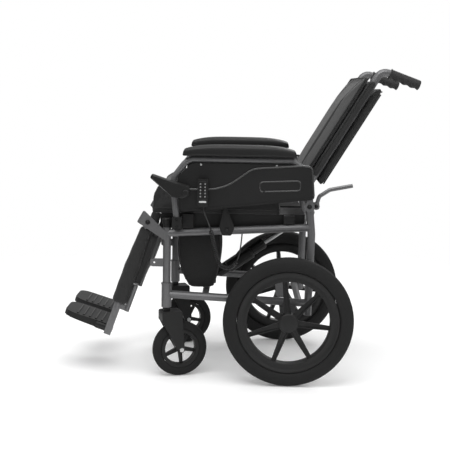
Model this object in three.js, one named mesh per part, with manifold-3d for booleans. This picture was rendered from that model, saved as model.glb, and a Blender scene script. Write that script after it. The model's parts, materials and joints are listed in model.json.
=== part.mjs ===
// Reclining transport wheelchair with power backrest, drawn as separate pieces.
// Millimetres. +X is the occupant's left, -Y is forward, +Z is up, the floor is z = 0.
// Inside the chair group y = 0 lies above the rear axle; the group is then moved so that
// the origin stands on the floor below the middle of the whole chair.

import * as THREE from 'three';
import { mergeVertices } from 'three/addons/utils/BufferGeometryUtils.js';
import ManifoldModule from 'manifold-3d';

const wasm = await ManifoldModule();
wasm.setup();

// Clearances shared by every fit
const seatGap = 0.3;            // between two faces that touch
const runningGap = 0.4;         // radial, between a pin and the hole it turns in
const sideGap = 1.2;            // between moving cheeks
const cutOver = 3;              // a cut runs past the face it opens
const weldBite = 1.5;           // a welded piece sinks this far into its neighbour

// Layout of the whole chair
const axleBehindMiddle = 164.6;   // from the rear axle forward to the middle of the whole chair
const frameHalf = 208;          // middle of the chair to the middle of a side frame
const tubeR = 12.5;             // side frame tube
const postY = -384;             // front post, which carries the caster stem
const rearPostY = 66;           // rear post at the seat rail
const seatZ = 526;              // top of the seat pan

// Rear wheel
const wheel = {
  y: 0, out: 77, radius: 203, tyreWidth: 45, seamR: 160, rimInR: 129, rimWidth: 38,
  hubR: 27, capR: 31, capDepth: 7, hubHalf: 21, spokes: 7, spokeHub: 23, spokeRim: 15,
  spokeDeep: 24, spokeThin: 15, firstSpokeDeg: 96, axleR: 8, ridge: 5, beadIn: 5, treadFlat: 17,
};

const wheelX = frameHalf + wheel.out;

// Caster
const caster = {
  radius: 89, width: 30, seamR: 62, rimInR: 50, trail: 45, yawDeg: 18, hubR: 14, hubHalf: 19,
  spokes: 5, spokeWide: 13, spokeDeep: 14, axleR: 4, boltR: 7.5, boltHead: 4, rimWidth: 26,
  headTop: 214, headLow: 183, headR: 19, legThick: 7, legWideLow: 22,
  stemR: 8, stemUp: 30, headLong: 66, tyreShoulder: 7, beadIn: 3,
};

// Side frame
const rail = { frontZ: 463, rearZ: 489, lowFrontZ: 267, lowRearZ: 247 };
const post = { topZ: 481, lowZ: 226, sleeveTopZ: 304, sleeveR: 16, ringR: 17.5, ringTall: 5 };
const rearPost = { lowZ: 209, bendZ: 468, topIn: 9, lowIn: 2, bendOut: 3, bendR: 120 };
const axlePlate = { thick: 8, wide: 56, lowZ: 176, bossR: 19, noseR: 15, reach: 15, neckShare: 0.7 };

const cross = { r: 11, aftPost: 122, rearIn: 30, footShare: 0.6 };
const crossY = { front: postY + cross.aftPost, rear: rearPostY - cross.rearIn };
const tab = { z: 368, tall: 25, reach: 52, thick: 7, holeR: 3.5 };

// Recline pivot and its ears on the rear post; the back leans this far from upright in the drawing
const recline = { ahead: 7, above: 89, leanDeg: 31 };
const ears = { r: 18, thick: 4, tang: 13, gap: 0.6, pinR: 5, foot: 18, drop: 29, neckShare: 0.95 };
const rearTop = { y: rearPostY - rearPost.topIn, z: seatZ + recline.above - ears.drop };
const hub = { y: rearTop.y - recline.ahead, z: seatZ + recline.above };

// Seat
const pan = {
  frontOut: 23, rearIn: 18, inside: 18, frontDrop: 52, rearDrop: 31, cornerR: 12, footFront: 66,
  footRear: 68, footWide: 18, footLong: 34, slotHalf: 26, slotLong: 70,
};
const cushion = {
  frontOut: 56, rearIn: 89, beyond: 8, tall: 98, crown: 12, drawIn: 5, roll: 26, sideShare: 0.35,
  channel: 4, channel_shares: [-0.33, 0.33], nearShare: 0.06, cellsX: 8, cellsY: 12, cellsZ: 4,
};
const bag = {
  x: 98, half: 66, behindPost: 42, long: 128, middleDrop: 97, deep: 198, belly: 10, toeIn: 26,
  topIn: 6, topR: 8, bellyR: 60, lowR: 16,
  puff_shares: [[-1, 0.86], [-0.82, 0.97], [0, 1], [0.82, 0.97], [1, 0.86]],
};
const cap = { r: 15, tall: 30, brim: 3, neck: 12 };
const socket = { half: 15, long: 30, floor: 12, depth: 25, room: 1.2, slack: 4, footTall: 12 };

// Recline drive: an electric cylinder between the front cross tube and the crank on the back
const drive = {
  x: -20, behindFront: 18, footZ: 286, eyeR: 11, eyeThick: 12, pinR: 4, cheek: 4, bodyFrom: 20, bodyR: 19,
  bodyLong: 205, rodR: 8, rodFrom: 110, motorR: 20, motorLong: 92, motorAt: 62, motorX: 33, boreGap: 0.6,
  bevel: 4, neckShare: 0.7, forkRoom: 22, bridge: 8,
};
const driveFootY = crossY.front + drive.behindFront;
const crank = { long: 110, aftDeg: 17, wide: 22, thick: 12, eyeR: 12 };

// Elevating legrests: bracket on the post, knee pivot, leg, padded cover, calf pad, footplate
const knee = { ahead: 60, above: 16, pinR: 5, leanDeg: 19.6 };
const kneeAt = { y: postY - knee.ahead, z: post.topZ + knee.above };
const hanger = {
  out: 12, thick: 5, wide: 43, topDrop: 16, noseAhead: 13, noseUp: 38, lowDrop: 45, run_share: 0.49,
  drop_share: 0.87, cornerR: 5, headThick: 3, headLip: 5,
};
const leg = {
  eyeThick: 22, eyeR: 15, upperR: 10.5, upperLong: 296, barHalfWide: 8, barHalfDeep: 11, barLap: 16,
  barLong: 107, calfBarR: 8, calfBarBelow: 19, knuckleR: 9,
};
const hangerX = frameHalf + hanger.out;
const legX = hangerX - hanger.thick - sideGap - leg.eyeThick / 2;
const barFrom = leg.upperLong - leg.barLap;
const barTo = barFrom + leg.barLong;
const cover = {
  from: 22, short: 4, front: 23, rear: 25, half: 17, neckHalf: 12, neckTo: 37, shoulder: 14, endLong: 14,
  neckShare: 0.72, endShare: 0.86, corner_share: 0.7,
};
const coverTo = barFrom - cover.short;
const calf = { from: 34, long: 169, outX: 4, wide: 143, thick: 26, crown: 6, draw: 4, cellsX: 6, cellsZ: 6,
  cellsY: 2 };
const foot = {
  long: 145, fromMiddle: 21.8, thick: 24, toeThin: 17, toeDrop: 5, ribTall: 2.5, ribs: 5, ribWide: 6, barrelR: 8,
  pinR: 4, barrelLong: 34, hingeIn: 31, upFromEnd: 11, frontGap: 1.2, below: 14, plateInset: 5, toeR: 46,
  heelR: 10, ribsLong: 102, edge: 11,
};
const footAt = { x: -foot.hingeIn, down: barTo - foot.upFromEnd };

// Armrests: bent tube, padded top, moulded side panel, flip-up pivot at the back
const armPivot = { below: 26, pinR: 5, bossR: 10 };
const armHub = { y: rearTop.y, z: rearTop.z - armPivot.below };
const arm = {
  out: 46.5, r: 10, footAft: 34, footRise: 15, tall: 140, kneeAft: 20, kneeDrop: 60, bendAft: 66,
  rearBend: 55, rearKnee: 5, rearKneeDrop: 36, bendR: 40, eyeR: 16, eyeThick: 15,
};
const armX = frameHalf + arm.out;
const armTopZ = armHub.z + arm.tall;
const armFront = { y: postY + arm.footAft, z: post.topZ + arm.footRise };
const panelX = armX + arm.r + seatGap;
const armPad = {
  half: 26, nose: 16, tail: 11, tall: 36, edgeTall: 22, cellsX: 4, cellsY: 12, cellsZ: 3,
  endPower: 5, crossDrop: 5, noseShare: 0.16, nosePower: 6, endRoll: 5, draw: 1.5,
};
const panel = {
  sheet: 1.4, wall: 2, rim: 1.6, rimWide: 5, rearOut: 6, topDrop: 16, lowRearOut: 15, lowRearRise: 23,
  frontAft: 44, frontRise: 56, noseRise: 130, flatTo: 122, riseFrom: 162, crestAft: 287, crestDrop: 21,
  crestRise: 4, sBend: 55, cornerR: 13, crestEnd: 27, sheetDrop: 12, sheetAft: 32, sheetKnee: 56,
  sheetBack: 78, sheetR: 30,
  recess: { fromBack: 156, long: 128, low: 42, tall: 34, climb: 6, r: 12, band: 4 },
};
const panelNoseZ = post.topZ + panel.noseRise;

// Levers
const brake = {
  aftPost: 188, up: 6, lugR: 11, bladeOut: 22, bladeThick: 5, pinOver: 4, pinR: 4, long: 80, wide: 24,
  footHalf: 14, footDrop: 18, leanDeg: 5, tipR: 3, bowR: 22,
};
const brakeAt = { x: frameHalf + brake.bladeOut, y: postY + brake.aftPost };
const release = {
  out: 24, behind: 22, below: 27, barR: 6.5, lugR: 11, pinR: 4, hubR: 11, kneeBack: 9, kneeUp: 31,
  wristBack: 41, wristUp: 52, tipBack: 111, tipUp: 66, bendR: 14,
};
const releaseAt = { x: frameHalf + release.out, y: rearTop.y + release.behind,
  z: rearTop.z - release.below };
const grip = {
  r: 14.5, boreR: 12.5, long: 99, scallops: 4, scallopDeep: 3, slopeDeg: 20, wallEnd: 4, rings: 13,
  swell: 2.5,
};

// The caster's moulded wheel, in the terms of the rear wheel
const casterRim = {
  rimWidth: caster.rimWidth, rimInR: caster.rimInR, ridge: 2, hubHalf: caster.hubHalf, hubR: caster.hubR,
  capR: 0, spokes: caster.spokes, spokeHub: caster.spokeWide, spokeRim: 10, spokeDeep: caster.spokeDeep,
  spokeThin: 11, firstSpokeDeg: 60,
};
const tyreForm = {
  bead_share: 0.78, wall_share: 0.92, turn_share: 0.35, shoulder_share: 0.86, crown_share: 0.45,
  dome_share: 0.8,
};
const forkForm = { toe_share: 0.62, heel_share: 0.62, knee_share: 0.75, collarR: 12 };

// Backrest, drawn upright about the recline pivot: +z up the back, -y towards the sitter
const back = {
  caneFrom: 21, caneTop: 424, caneBend: 32, cross: 30, crossR: 9, tangR: 15, tangWide: 9, gripAt: 27,
};
const sling = { front: -18.2, rear: 16, from: 44, to: 383, beyond: 16, cornerR: 10 };
const backPad = {
  thick: 12.5, from: -26, over: 9, beyond: 13, crown: 17, draw: 3, roll: 9, channel: 4,
  channel_shares: [-0.52, 0.52], nearShare: 0.05, cellsX: 12, cellsY: 3, cellsZ: 8,
};
const backShell = { gap: 1.5, rear: 42, from: 31, drop: 4, slope_share: 0.37, beyond: 4, cornerR: 5,
  foldIn: 28, foldTall: 22 };

// Control pod, handset and its curly cord, on the left
const pod = {
  out: 6, wide: 28, stemR: 8, stemDrop: 96, long: 121, tall: 74, knobR: 7, knobLong: 9, knobBack: 38,
  knobDrop: 4, cornerR: 5,
};
const podForm = {
  outline_shares: [
    [-0.54, 0.69], [-0.585, 0.53], [-0.27, 0.08], [-0.05, -0.24], [0.21, -0.31], [0.385, -0.19],
    [0.415, 0.22], [-0.03, 0.41],
  ],
  swell_shares: [[0, 0.9], [0.12, 1], [0.78, 1], [1, 0.84]],
};
const handset = {
  thick: 19, aft: 113.5, wide: 33, long: 86, rise: 31, cornerR: 9, keyR: 2.4, keyHole: 2.8, keyRise: 1.4,
  keyDeep: 3.2, keyTravel: 1, columnStep: 14.2, columns: 2, firstRow: 15, rowStep: 9.7, rows: 5,
  hookRoom: 0.6, hookThick: 2.2, hookWide: 16, hookDrop: 10, glandR: 5, glandTall: 6, holeDeep: 4.5,
  leadAft: 2.5,
};
const handsetAt = {
  x: panelX + panel.sheet + panel.wall + panel.rim + seatGap, y: postY + handset.aft,
  z: panelNoseZ + handset.rise,
};
const lead = {
  r: 2.2, curlSides: 5, coilR: 4.8, pitch: 6.6, curls: 31, steps: 8, straight: 14, straightSteps: 8,
  coilFrom: 78, runIn: 5,
};
// The lead's far end: a small gland below the seat pan, this far in from the side frame
const underGland = { r: 5, tall: 14, into: 5, holeDeep: 4.5, in: 58, aftPost: 236 };
// How far the lead hangs: [inboard of the handset, behind its top end, below its top end]
const leadDrop = [
  [0, 0.5, 10], [1, 8, 28], [10, 18, 55], [20, 23, 75], [31, 28, 97], [42, 35, 131], [53, 43, 165],
  [66, 55, 191],
  [79, 75, 201], [92, 93, 196], [103, 105, 180], [112, 112, 160], [120, 116, 138],
];

// Facet counts
const around = { tube: 12, wheel: 36, caster: 24, small: 12, pin: 8, bend: 3 };

const deg = Math.PI / 180;

// A closed mesh becomes a solid once its doubled corners are merged
function cleaned(geometry) {
  const bare = geometry.index ? geometry.toNonIndexed() : geometry.clone();
  for (const name of Object.keys(bare.attributes)) {
    if (name !== 'position') bare.deleteAttribute(name);
  }
  const merged = mergeVertices(bare, 1e-4);
  const index = merged.index.array;
  const kept = [];
  for (let i = 0; i < index.length; i += 3) {
    const [a, b, c] = [index[i], index[i + 1], index[i + 2]];
    if (a !== b && b !== c && c !== a) kept.push(a, b, c);
  }
  merged.setIndex(kept);
  return merged;
}

function solid(geometry) {
  const g = cleaned(geometry);
  return new wasm.Manifold(new wasm.Mesh({
    numProp: 3,
    vertProperties: new Float32Array(g.attributes.position.array),
    triVerts: new Uint32Array(g.index.array),
  }));
}

const join = (first, ...rest) => rest.reduce((sum, one) => sum.add(one), first);
const cut = (first, ...rest) => rest.reduce((sum, one) => sum.subtract(one), first);

// The left and right pieces are drawn once; a negative side mirrors the drawing in X
function geometryOf(body, side = 1) {
  const mesh = body.getMesh();
  const position = new Float32Array(mesh.numVert * 3);
  for (let i = 0; i < mesh.numVert; i += 1) {
    position[3 * i] = side * mesh.vertProperties[mesh.numProp * i];
    position[3 * i + 1] = mesh.vertProperties[mesh.numProp * i + 1];
    position[3 * i + 2] = mesh.vertProperties[mesh.numProp * i + 2];
  }
  const index = Array.from(mesh.triVerts);
  if (side < 0) {
    for (let i = 0; i < index.length; i += 3) [index[i], index[i + 1]] = [index[i + 1], index[i]];
  }
  const geometry = new THREE.BufferGeometry();
  geometry.setAttribute('position', new THREE.BufferAttribute(position, 3));
  geometry.setIndex(index);
  geometry.computeVertexNormals();
  return geometry;
}

function add(group, name, body, color, finish = {}, side = 1) {
  const material = new THREE.MeshStandardMaterial({ color, roughness: 0.6, metalness: 0, ...finish });
  const mesh = new THREE.Mesh(geometryOf(body, side), material);
  mesh.name = name;
  group.add(mesh);
  return mesh;
}

// A box given by its lowest and highest corner
function block(low, high) {
  const size = high.map((value, i) => value - low[i]);
  const g = new THREE.BoxGeometry(...size);
  g.translate(...low.map((value, i) => value + size[i] / 2));
  return solid(g);
}

const turnTo = {
  x: (g) => g.rotateZ(-Math.PI / 2),
  y: (g) => g,
  z: (g) => g.rotateX(Math.PI / 2),
};

// A round bar along one axis, from a start point
function rod(axis, start, length, r, sides = around.tube, endR = r) {
  const g = new THREE.CylinderGeometry(endR, r, Math.abs(length), sides);
  turnTo[axis](g);
  const middle = new THREE.Vector3(...start);
  middle[axis] += length / 2;
  g.translate(middle.x, middle.y, middle.z);
  return solid(g);
}

// A bar that clears a round bar of radius r with the flats between its facets
const hole = (axis, start, length, r, sides = around.tube) =>
  rod(axis, start, length, r / Math.cos(Math.PI / sides), sides);

// A turned piece: profile of [radius, along] from one end of the axis to the other
function turned(profile, axis, at, sides) {
  const points = profile.map(([r, along]) => new THREE.Vector2(r, along));
  const g = new THREE.LatheGeometry(points, sides);
  turnTo[axis](g);
  g.translate(...at);
  const body = solid(g);
  return body.volume() < 0 ? solid(flipped(g)) : body;
}

function flipped(geometry) {
  const g = cleaned(geometry);
  const index = Array.from(g.index.array);
  for (let i = 0; i < index.length; i += 3) [index[i], index[i + 1]] = [index[i + 1], index[i]];
  g.setIndex(index);
  return g;
}

// A plate: outline points [y, z] drawn on a side plane, from one x to another
function plate(outline, fromX, toX, holes = []) {
  const shape = new THREE.Shape(outline.map(([y, z]) => new THREE.Vector2(y, z)));
  for (const hole of holes) shape.holes.push(new THREE.Path(hole.map(([y, z]) => new THREE.Vector2(y, z))));
  const g = new THREE.ExtrudeGeometry(shape, { depth: toX - fromX, bevelEnabled: false, curveSegments: 6 });
  // The shape's (x, y, depth) become (y, z, x)
  g.applyMatrix4(new THREE.Matrix4().set(0, 0, 1, fromX, 1, 0, 0, 0, 0, 1, 0, 0, 0, 0, 0, 1));
  return solid(g);
}

// Corners of a polygon rounded off with short arcs: [y, z, r]
function rounded(corners, steps = 3) {
  const out = [];
  corners.forEach(([y, z, r = 0], i) => {
    const before = corners[(i + corners.length - 1) % corners.length];
    const after = corners[(i + 1) % corners.length];
    if (!r) {
      out.push([y, z]);
      return;
    }
    const p = new THREE.Vector2(y, z);
    const u = new THREE.Vector2(before[0] - y, before[1] - z).normalize();
    const v = new THREE.Vector2(after[0] - y, after[1] - z).normalize();
    const half = Math.acos(THREE.MathUtils.clamp(u.dot(v), -1, 1)) / 2;
    const reach = r / Math.tan(half);
    const a = p.clone().addScaledVector(u, reach);
    const b = p.clone().addScaledVector(v, reach);
    const curve = new THREE.QuadraticBezierCurve(a, p, b);
    for (const q of curve.getPoints(steps)) out.push([q.x, q.y]);
  });
  return out;
}

const disc = (y, z, r, sides = around.small) => Array.from({ length: sides }, (_, i) => {
  const t = (i / sides) * 2 * Math.PI;
  return [y + r * Math.cos(t), z + r * Math.sin(t)];
});

// A route whose rings stand exactly on its points
class Route extends THREE.Curve {
  constructor(points) {
    super();
    this.points = points;
  }

  getPoint(t, target = new THREE.Vector3()) {
    const last = this.points.length - 1;
    const place = THREE.MathUtils.clamp(t, 0, 1) * last;
    const i = Math.min(Math.floor(place), last - 1);
    return target.lerpVectors(this.points[i], this.points[i + 1], place - i);
  }

  getUtoTmapping(u) {
    return u;
  }
}

// Corner points [x, y, z, bend radius] become a route with arcs at the bends
function routed(corners, steps = around.bend) {
  const at = corners.map(([x, y, z]) => new THREE.Vector3(x, y, z));
  const out = [at[0]];
  for (let i = 1; i < at.length - 1; i += 1) {
    const u = at[i - 1].clone().sub(at[i]).normalize();
    const v = at[i + 1].clone().sub(at[i]).normalize();
    const half = u.angleTo(v) / 2;
    const reach = (corners[i][3] ?? 0) / Math.tan(half);
    const a = at[i].clone().addScaledVector(u, reach);
    const b = at[i].clone().addScaledVector(v, reach);
    if (reach > 0) out.push(...new THREE.QuadraticBezierCurve3(a, at[i], b).getPoints(steps));
    else out.push(at[i]);
  }
  out.push(at[at.length - 1]);
  return out;
}

// A tube or bar along a route: round, or flat when a second radius is given
function tube(points, r, sides = around.tube, flatR = r) {
  const ring = Array.from({ length: sides }, (_, i) => {
    const t = ((i + 0.5) / sides) * 2 * Math.PI;
    return new THREE.Vector2(r * Math.cos(t), flatR * Math.sin(t));
  });
  const g = new THREE.ExtrudeGeometry(new THREE.Shape(ring), {
    steps: points.length - 1, extrudePath: new Route(points), bevelEnabled: false,
  });
  const body = solid(g);
  return body.volume() < 0 ? solid(flipped(g)) : body;
}

// A stack of rings of equal count, closed at both ends, becomes one solid
function lofted(rings) {
  const count = rings[0].length;
  const position = [];
  const index = [];
  for (const ring of rings) for (const p of ring) position.push(...p);
  for (let k = 0; k + 1 < rings.length; k += 1) {
    for (let i = 0; i < count; i += 1) {
      const a = k * count + i;
      const b = k * count + ((i + 1) % count);
      index.push(a, b, b + count, a, b + count, a + count);
    }
  }
  const caps = [[0, false], [rings.length - 1, true]];
  for (const [k, up] of caps) {
    const middle = position.length / 3;
    const sum = [0, 0, 0];
    for (const p of rings[k]) p.forEach((value, i) => { sum[i] += value / count; });
    position.push(...sum);
    for (let i = 0; i < count; i += 1) {
      const a = k * count + i;
      const b = k * count + ((i + 1) % count);
      index.push(...(up ? [a, b, middle] : [b, a, middle]));
    }
  }
  const g = new THREE.BufferGeometry();
  g.setAttribute('position', new THREE.Float32BufferAttribute(position, 3));
  g.setIndex(index);
  const body = solid(g);
  return body.volume() < 0 ? solid(flipped(g)) : body;
}

// A padded block: a fine box whose points are moved by a shaping rule.
// The rule gets shares from -1 to 1 along each side and returns the new point.
function padded(cells, shape) {
  const g = new THREE.BoxGeometry(2, 2, 2, ...cells);
  const p = g.attributes.position;
  for (let i = 0; i < p.count; i += 1) {
    p.setXYZ(i, ...shape(p.getX(i), p.getY(i), p.getZ(i)));
  }
  return solid(g);
}

const paint = { color: 0x66676a, finish: { roughness: 0.45, metalness: 0.55 } };
const black = { color: 0x26272a, finish: { roughness: 0.6 } };
const rubber = { color: 0x2a2a2b, finish: { roughness: 0.85 } };
const cloth = { color: 0x3a3b3e, finish: { roughness: 0.95 } };
const steel = { color: 0xb9bbbd, finish: { roughness: 0.3, metalness: 1 } };
const sides = [['left', 1], ['right', -1]];

const chair = new THREE.Group();
chair.position.y = axleBehindMiddle;

// Height of a sloping rail above a place along the chair
const alongRail = (y, frontZ, rearZ) => frontZ + ((y - postY) / (rearPostY - postY)) * (rearZ - frontZ);
const upperRailZ = (y) => alongRail(y, rail.frontZ, rail.rearZ);
const lowerRailZ = (y) => alongRail(y, rail.lowFrontZ, rail.lowRearZ);

function railTube(frontZ, rearZ, r) {
  return tube(routed([[frameHalf, postY, frontZ], [frameHalf, rearPostY, rearZ]]), r);
}

function reclineEars() {
  const web = (x) => join(
    plate(disc(hub.y, hub.z, ears.r, around.tube), x, x + ears.thick),
    plate([
      [rearTop.y - tubeR, rearTop.z - ears.foot], [rearTop.y + tubeR, rearTop.z - ears.foot],
      [hub.y + ears.r * ears.neckShare, hub.z], [hub.y - ears.r * ears.neckShare, hub.z],
    ], x, x + ears.thick),
  );
  const outer = frameHalf + ears.tang / 2 + ears.gap;
  const inner = frameHalf - ears.tang / 2 - ears.gap - ears.thick;
  const pin = rod('x', [inner, hub.y, hub.z], outer + ears.thick - inner, ears.pinR, around.pin);
  return join(web(outer), web(inner), pin);
}

function axleSupport() {
  const top = lowerRailZ(wheel.y);
  const half = axlePlate.wide / 2;
  const outline = rounded([
    [wheel.y - half, top], [wheel.y - half * axlePlate.neckShare, axlePlate.lowZ, axlePlate.wide / 5],
    [wheel.y + half * axlePlate.neckShare, axlePlate.lowZ, axlePlate.wide / 5], [wheel.y + half, top],
  ]);
  const fromX = frameHalf - axlePlate.thick / 2;
  const hubFace = wheelX - wheel.hubHalf - seatGap;
  return join(
    plate(outline, fromX, fromX + axlePlate.thick),
    rod('x', [frameHalf, wheel.y, wheel.radius], hubFace - frameHalf, axlePlate.bossR, around.tube,
      axlePlate.noseR),
    rod('x', [frameHalf, wheel.y, wheel.radius], wheelX + axlePlate.reach - frameHalf, wheel.axleR,
      around.tube),
  );
}

function legBracket() {
  const { wide, thick, cornerR } = hanger;
  const x = hangerX;
  const nose = { y: kneeAt.y - hanger.noseAhead, z: kneeAt.z + hanger.noseUp };
  const outline = rounded([
    [nose.y, nose.z, cornerR], [nose.y - wide * hanger.run_share, nose.z - wide * hanger.drop_share,
      cornerR],
    [postY, post.topZ - hanger.lowDrop], [postY, post.topZ - hanger.topDrop],
  ]);
  const pinFrom = x - thick - leg.eyeThick - sideGap * 2 - hanger.headThick;
  return join(
    plate(outline, x - thick, x),
    rod('x', [pinFrom, kneeAt.y, kneeAt.z], x - pinFrom, knee.pinR, around.pin),
    rod('x', [pinFrom, kneeAt.y, kneeAt.z], hanger.headThick, knee.pinR + hanger.headLip, around.pin),
  );
}

function latchTab() {
  const {
    z, tall, reach, thick,
  } = tab;
  const outline = rounded([
    [postY, z - tall / 2], [postY, z + tall / 2], [postY - reach, z + tall / 2, tall / 3],
    [postY - reach, z - tall / 2, tall / 3],
  ]);
  const hole = disc(postY - reach + tall / 2, z, tab.holeR, around.pin);
  return plate(outline, frameHalf - thick / 2, frameHalf + thick / 2, [hole]);
}

function sideFrame(side) {
  const lowPost = rod('z', [frameHalf, postY, post.lowZ], post.topZ - post.lowZ, tubeR);
  const sleeve = rod('z', [frameHalf, postY, post.lowZ], post.sleeveTopZ - post.lowZ, post.sleeveR,
    around.tube);
  const ring = rod('z', [frameHalf, postY, post.sleeveTopZ - post.ringTall], post.ringTall, post.ringR);
  const back = tube(routed([
    [frameHalf, rearPostY - rearPost.lowIn, rearPost.lowZ],
    [frameHalf, rearPostY + rearPost.bendOut, rearPost.bendZ, rearPost.bendR],
    [frameHalf, rearTop.y, rearTop.z],
  ]), tubeR);
  const armPin = join(
    rod('x', [frameHalf, armHub.y, armHub.z], armX - arm.eyeThick / 2 - seatGap - frameHalf,
      armPivot.bossR),
    rod('x', [frameHalf, armHub.y, armHub.z], armX + arm.eyeThick / 2 - frameHalf, armPivot.pinR,
      around.pin),
  );
  const brakeLug = join(
    plate(disc(brakeAt.y, upperRailZ(brakeAt.y) + brake.up, brake.lugR), frameHalf, brakeAt.x - sideGap),
    rod('x', [frameHalf, brakeAt.y, upperRailZ(brakeAt.y) + brake.up],
      brakeAt.x + brake.bladeThick + brake.pinOver - frameHalf, brake.pinR, around.pin),
  );
  const stemHole = hole('z', [frameHalf, postY, post.lowZ - cutOver],
    caster.stemUp + cutOver * 2, caster.stemR + runningGap, around.pin);
  const parts = [
    sleeve, ring, railTube(rail.frontZ, rail.rearZ, tubeR), railTube(rail.lowFrontZ, rail.lowRearZ, tubeR),
    back, reclineEars(), axleSupport(), legBracket(), latchTab(), armPin, brakeLug,
  ];
  if (side > 0) parts.push(leverLug());
  return cut(join(lowPost, ...parts), stemHole);
}

function leverLug() {
  const root = rearTop.y;
  const outline = rounded([
    [root, releaseAt.z - release.lugR], [releaseAt.y, releaseAt.z - release.lugR, release.lugR / 2],
    [releaseAt.y + release.lugR, releaseAt.z - release.lugR, release.lugR / 2],
    [releaseAt.y + release.lugR, releaseAt.z + release.lugR, release.lugR / 2],
    [root, releaseAt.z + release.lugR],
  ]);
  const lugTo = releaseAt.x - release.barR - seatGap;
  return join(
    plate(outline, frameHalf + tubeR / 2, lugTo),
    rod('x', [frameHalf, releaseAt.y, releaseAt.z], releaseAt.x + release.barR - frameHalf, release.pinR,
      around.pin),
  );
}

for (const [word, side] of sides) {
  add(chair, `side_frame_${word}`, sideFrame(side), paint.color, paint.finish, side);
}

// Cross tubes end in a saddle cut to the rails, and the front one carries the drive's foot
const railSaddle = (side) => tube(routed([
  [side * frameHalf, postY, rail.lowFrontZ], [side * frameHalf, rearPostY, rail.lowRearZ],
]), (tubeR + seatGap) / Math.cos(Math.PI / around.tube));

function crossTube(y) {
  const bar = rod('x', [-frameHalf, y, lowerRailZ(y)], 2 * frameHalf, cross.r);
  return cut(bar, railSaddle(1), railSaddle(-1));
}

function driveFoot() {
  const cheek = (x) => plate(rounded([
    [crossY.front - cross.r * cross.footShare, lowerRailZ(crossY.front)],
    [driveFootY + drive.eyeR, lowerRailZ(crossY.front)],
    [driveFootY + drive.eyeR, drive.footZ + drive.eyeR, drive.eyeR * cross.footShare],
    [driveFootY - drive.eyeR, drive.footZ + drive.eyeR, drive.eyeR * cross.footShare],
  ]), x, x + drive.cheek);
  const half = drive.eyeThick / 2 + sideGap;
  const pin = rod('x', [drive.x - half - drive.cheek, driveFootY, drive.footZ],
    2 * (half + drive.cheek), drive.pinR, around.pin);
  return join(cheek(drive.x + half), cheek(drive.x - half - drive.cheek), pin);
}

add(chair, 'cross_tube_front', join(crossTube(crossY.front), driveFoot()), paint.color, paint.finish);
add(chair, 'cross_tube_rear', crossTube(crossY.rear), paint.color, paint.finish);

// Seat pan on four feet above the rails, with a slot at the back for the recline crank
const panSide = {
  frontY: postY - pan.frontOut, rearY: rearPostY - pan.rearIn, frontZ: seatZ - pan.frontDrop,
  rearZ: seatZ - pan.rearDrop,
};
const underPanZ = (y) => panSide.frontZ
  + ((y - panSide.frontY) / (panSide.rearY - panSide.frontY)) * (panSide.rearZ - panSide.frontZ);
const glandAt = { x: frameHalf - underGland.in, y: postY + underGland.aftPost };

function seatPan() {
  const half = frameHalf - pan.inside;
  const body = plate(rounded([
    [panSide.frontY, seatZ, pan.cornerR], [panSide.frontY, panSide.frontZ, pan.cornerR],
    [panSide.rearY, panSide.rearZ, pan.cornerR], [panSide.rearY, seatZ],
  ]), -half, half);
  const feet = [];
  for (const side of [1, -1]) {
    const x = [side * (half - weldBite), side * (frameHalf + pan.footWide / 2)].sort((p, q) => p - q);
    for (const y of [postY + pan.footFront, rearPostY - pan.footRear]) {
      feet.push(block([x[0], y - pan.footLong / 2, upperRailZ(y + pan.footLong / 2) + tubeR + seatGap],
        [x[1], y + pan.footLong / 2, seatZ - weldBite]));
    }
  }
  const slot = block([drive.x - pan.slotHalf, panSide.rearY - pan.slotLong, 0],
    [drive.x + pan.slotHalf, panSide.rearY + cutOver, seatZ + cutOver]);
  const mouthZ = underPanZ(glandAt.y) - underGland.tall;
  const gland = rod('z', [glandAt.x, glandAt.y, mouthZ], underGland.tall + underGland.into, underGland.r,
    around.pin);
  const glandHole = hole('z', [glandAt.x, glandAt.y, mouthZ - cutOver], underGland.holeDeep + cutOver,
    lead.r + runningGap, around.pin);
  return cut(join(body, ...feet, gland), slot, glandHole);
}
add(chair, 'seat_pan', seatPan(), black.color, black.finish);

// Seat cushion: crowned top, drawn-in sides between the corners, rolled front edge
function seatCushion() {
  const tall = cushion.tall - seatGap;
  const frontY = postY - cushion.frontOut;
  const rearY = rearPostY - cushion.rearIn;
  return padded([cushion.cellsX, cushion.cellsY, cushion.cellsZ], (a, b, c) => {
    const up = (c + 1) / 2;
    const draw = cushion.drawIn * (1 - c * c);
    const endRound = cushion.roll * Math.max(0, c) ** 2;
    const x = a * (frameHalf + cushion.beyond - draw * (1 - b ** 4) - endRound * cushion.sideShare);
    const y = frontY + (rearY - frontY) * (b + 1) / 2 - b * (draw * (1 - a ** 4) + endRound);
    const crown = cushion.crown * (1 - a ** 4) * (1 - b ** 4);
    const channel = cushion.channel * (cushion.channel_shares.some((s) =>
      Math.abs(b - s) < cushion.nearShare) ? 1 : 0);
    return [x, y, seatZ + seatGap + up * (tall - cushion.crown + crown - channel)];
  });
}
add(chair, 'seat_cushion', seatCushion(), cloth.color, cloth.finish);

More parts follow.
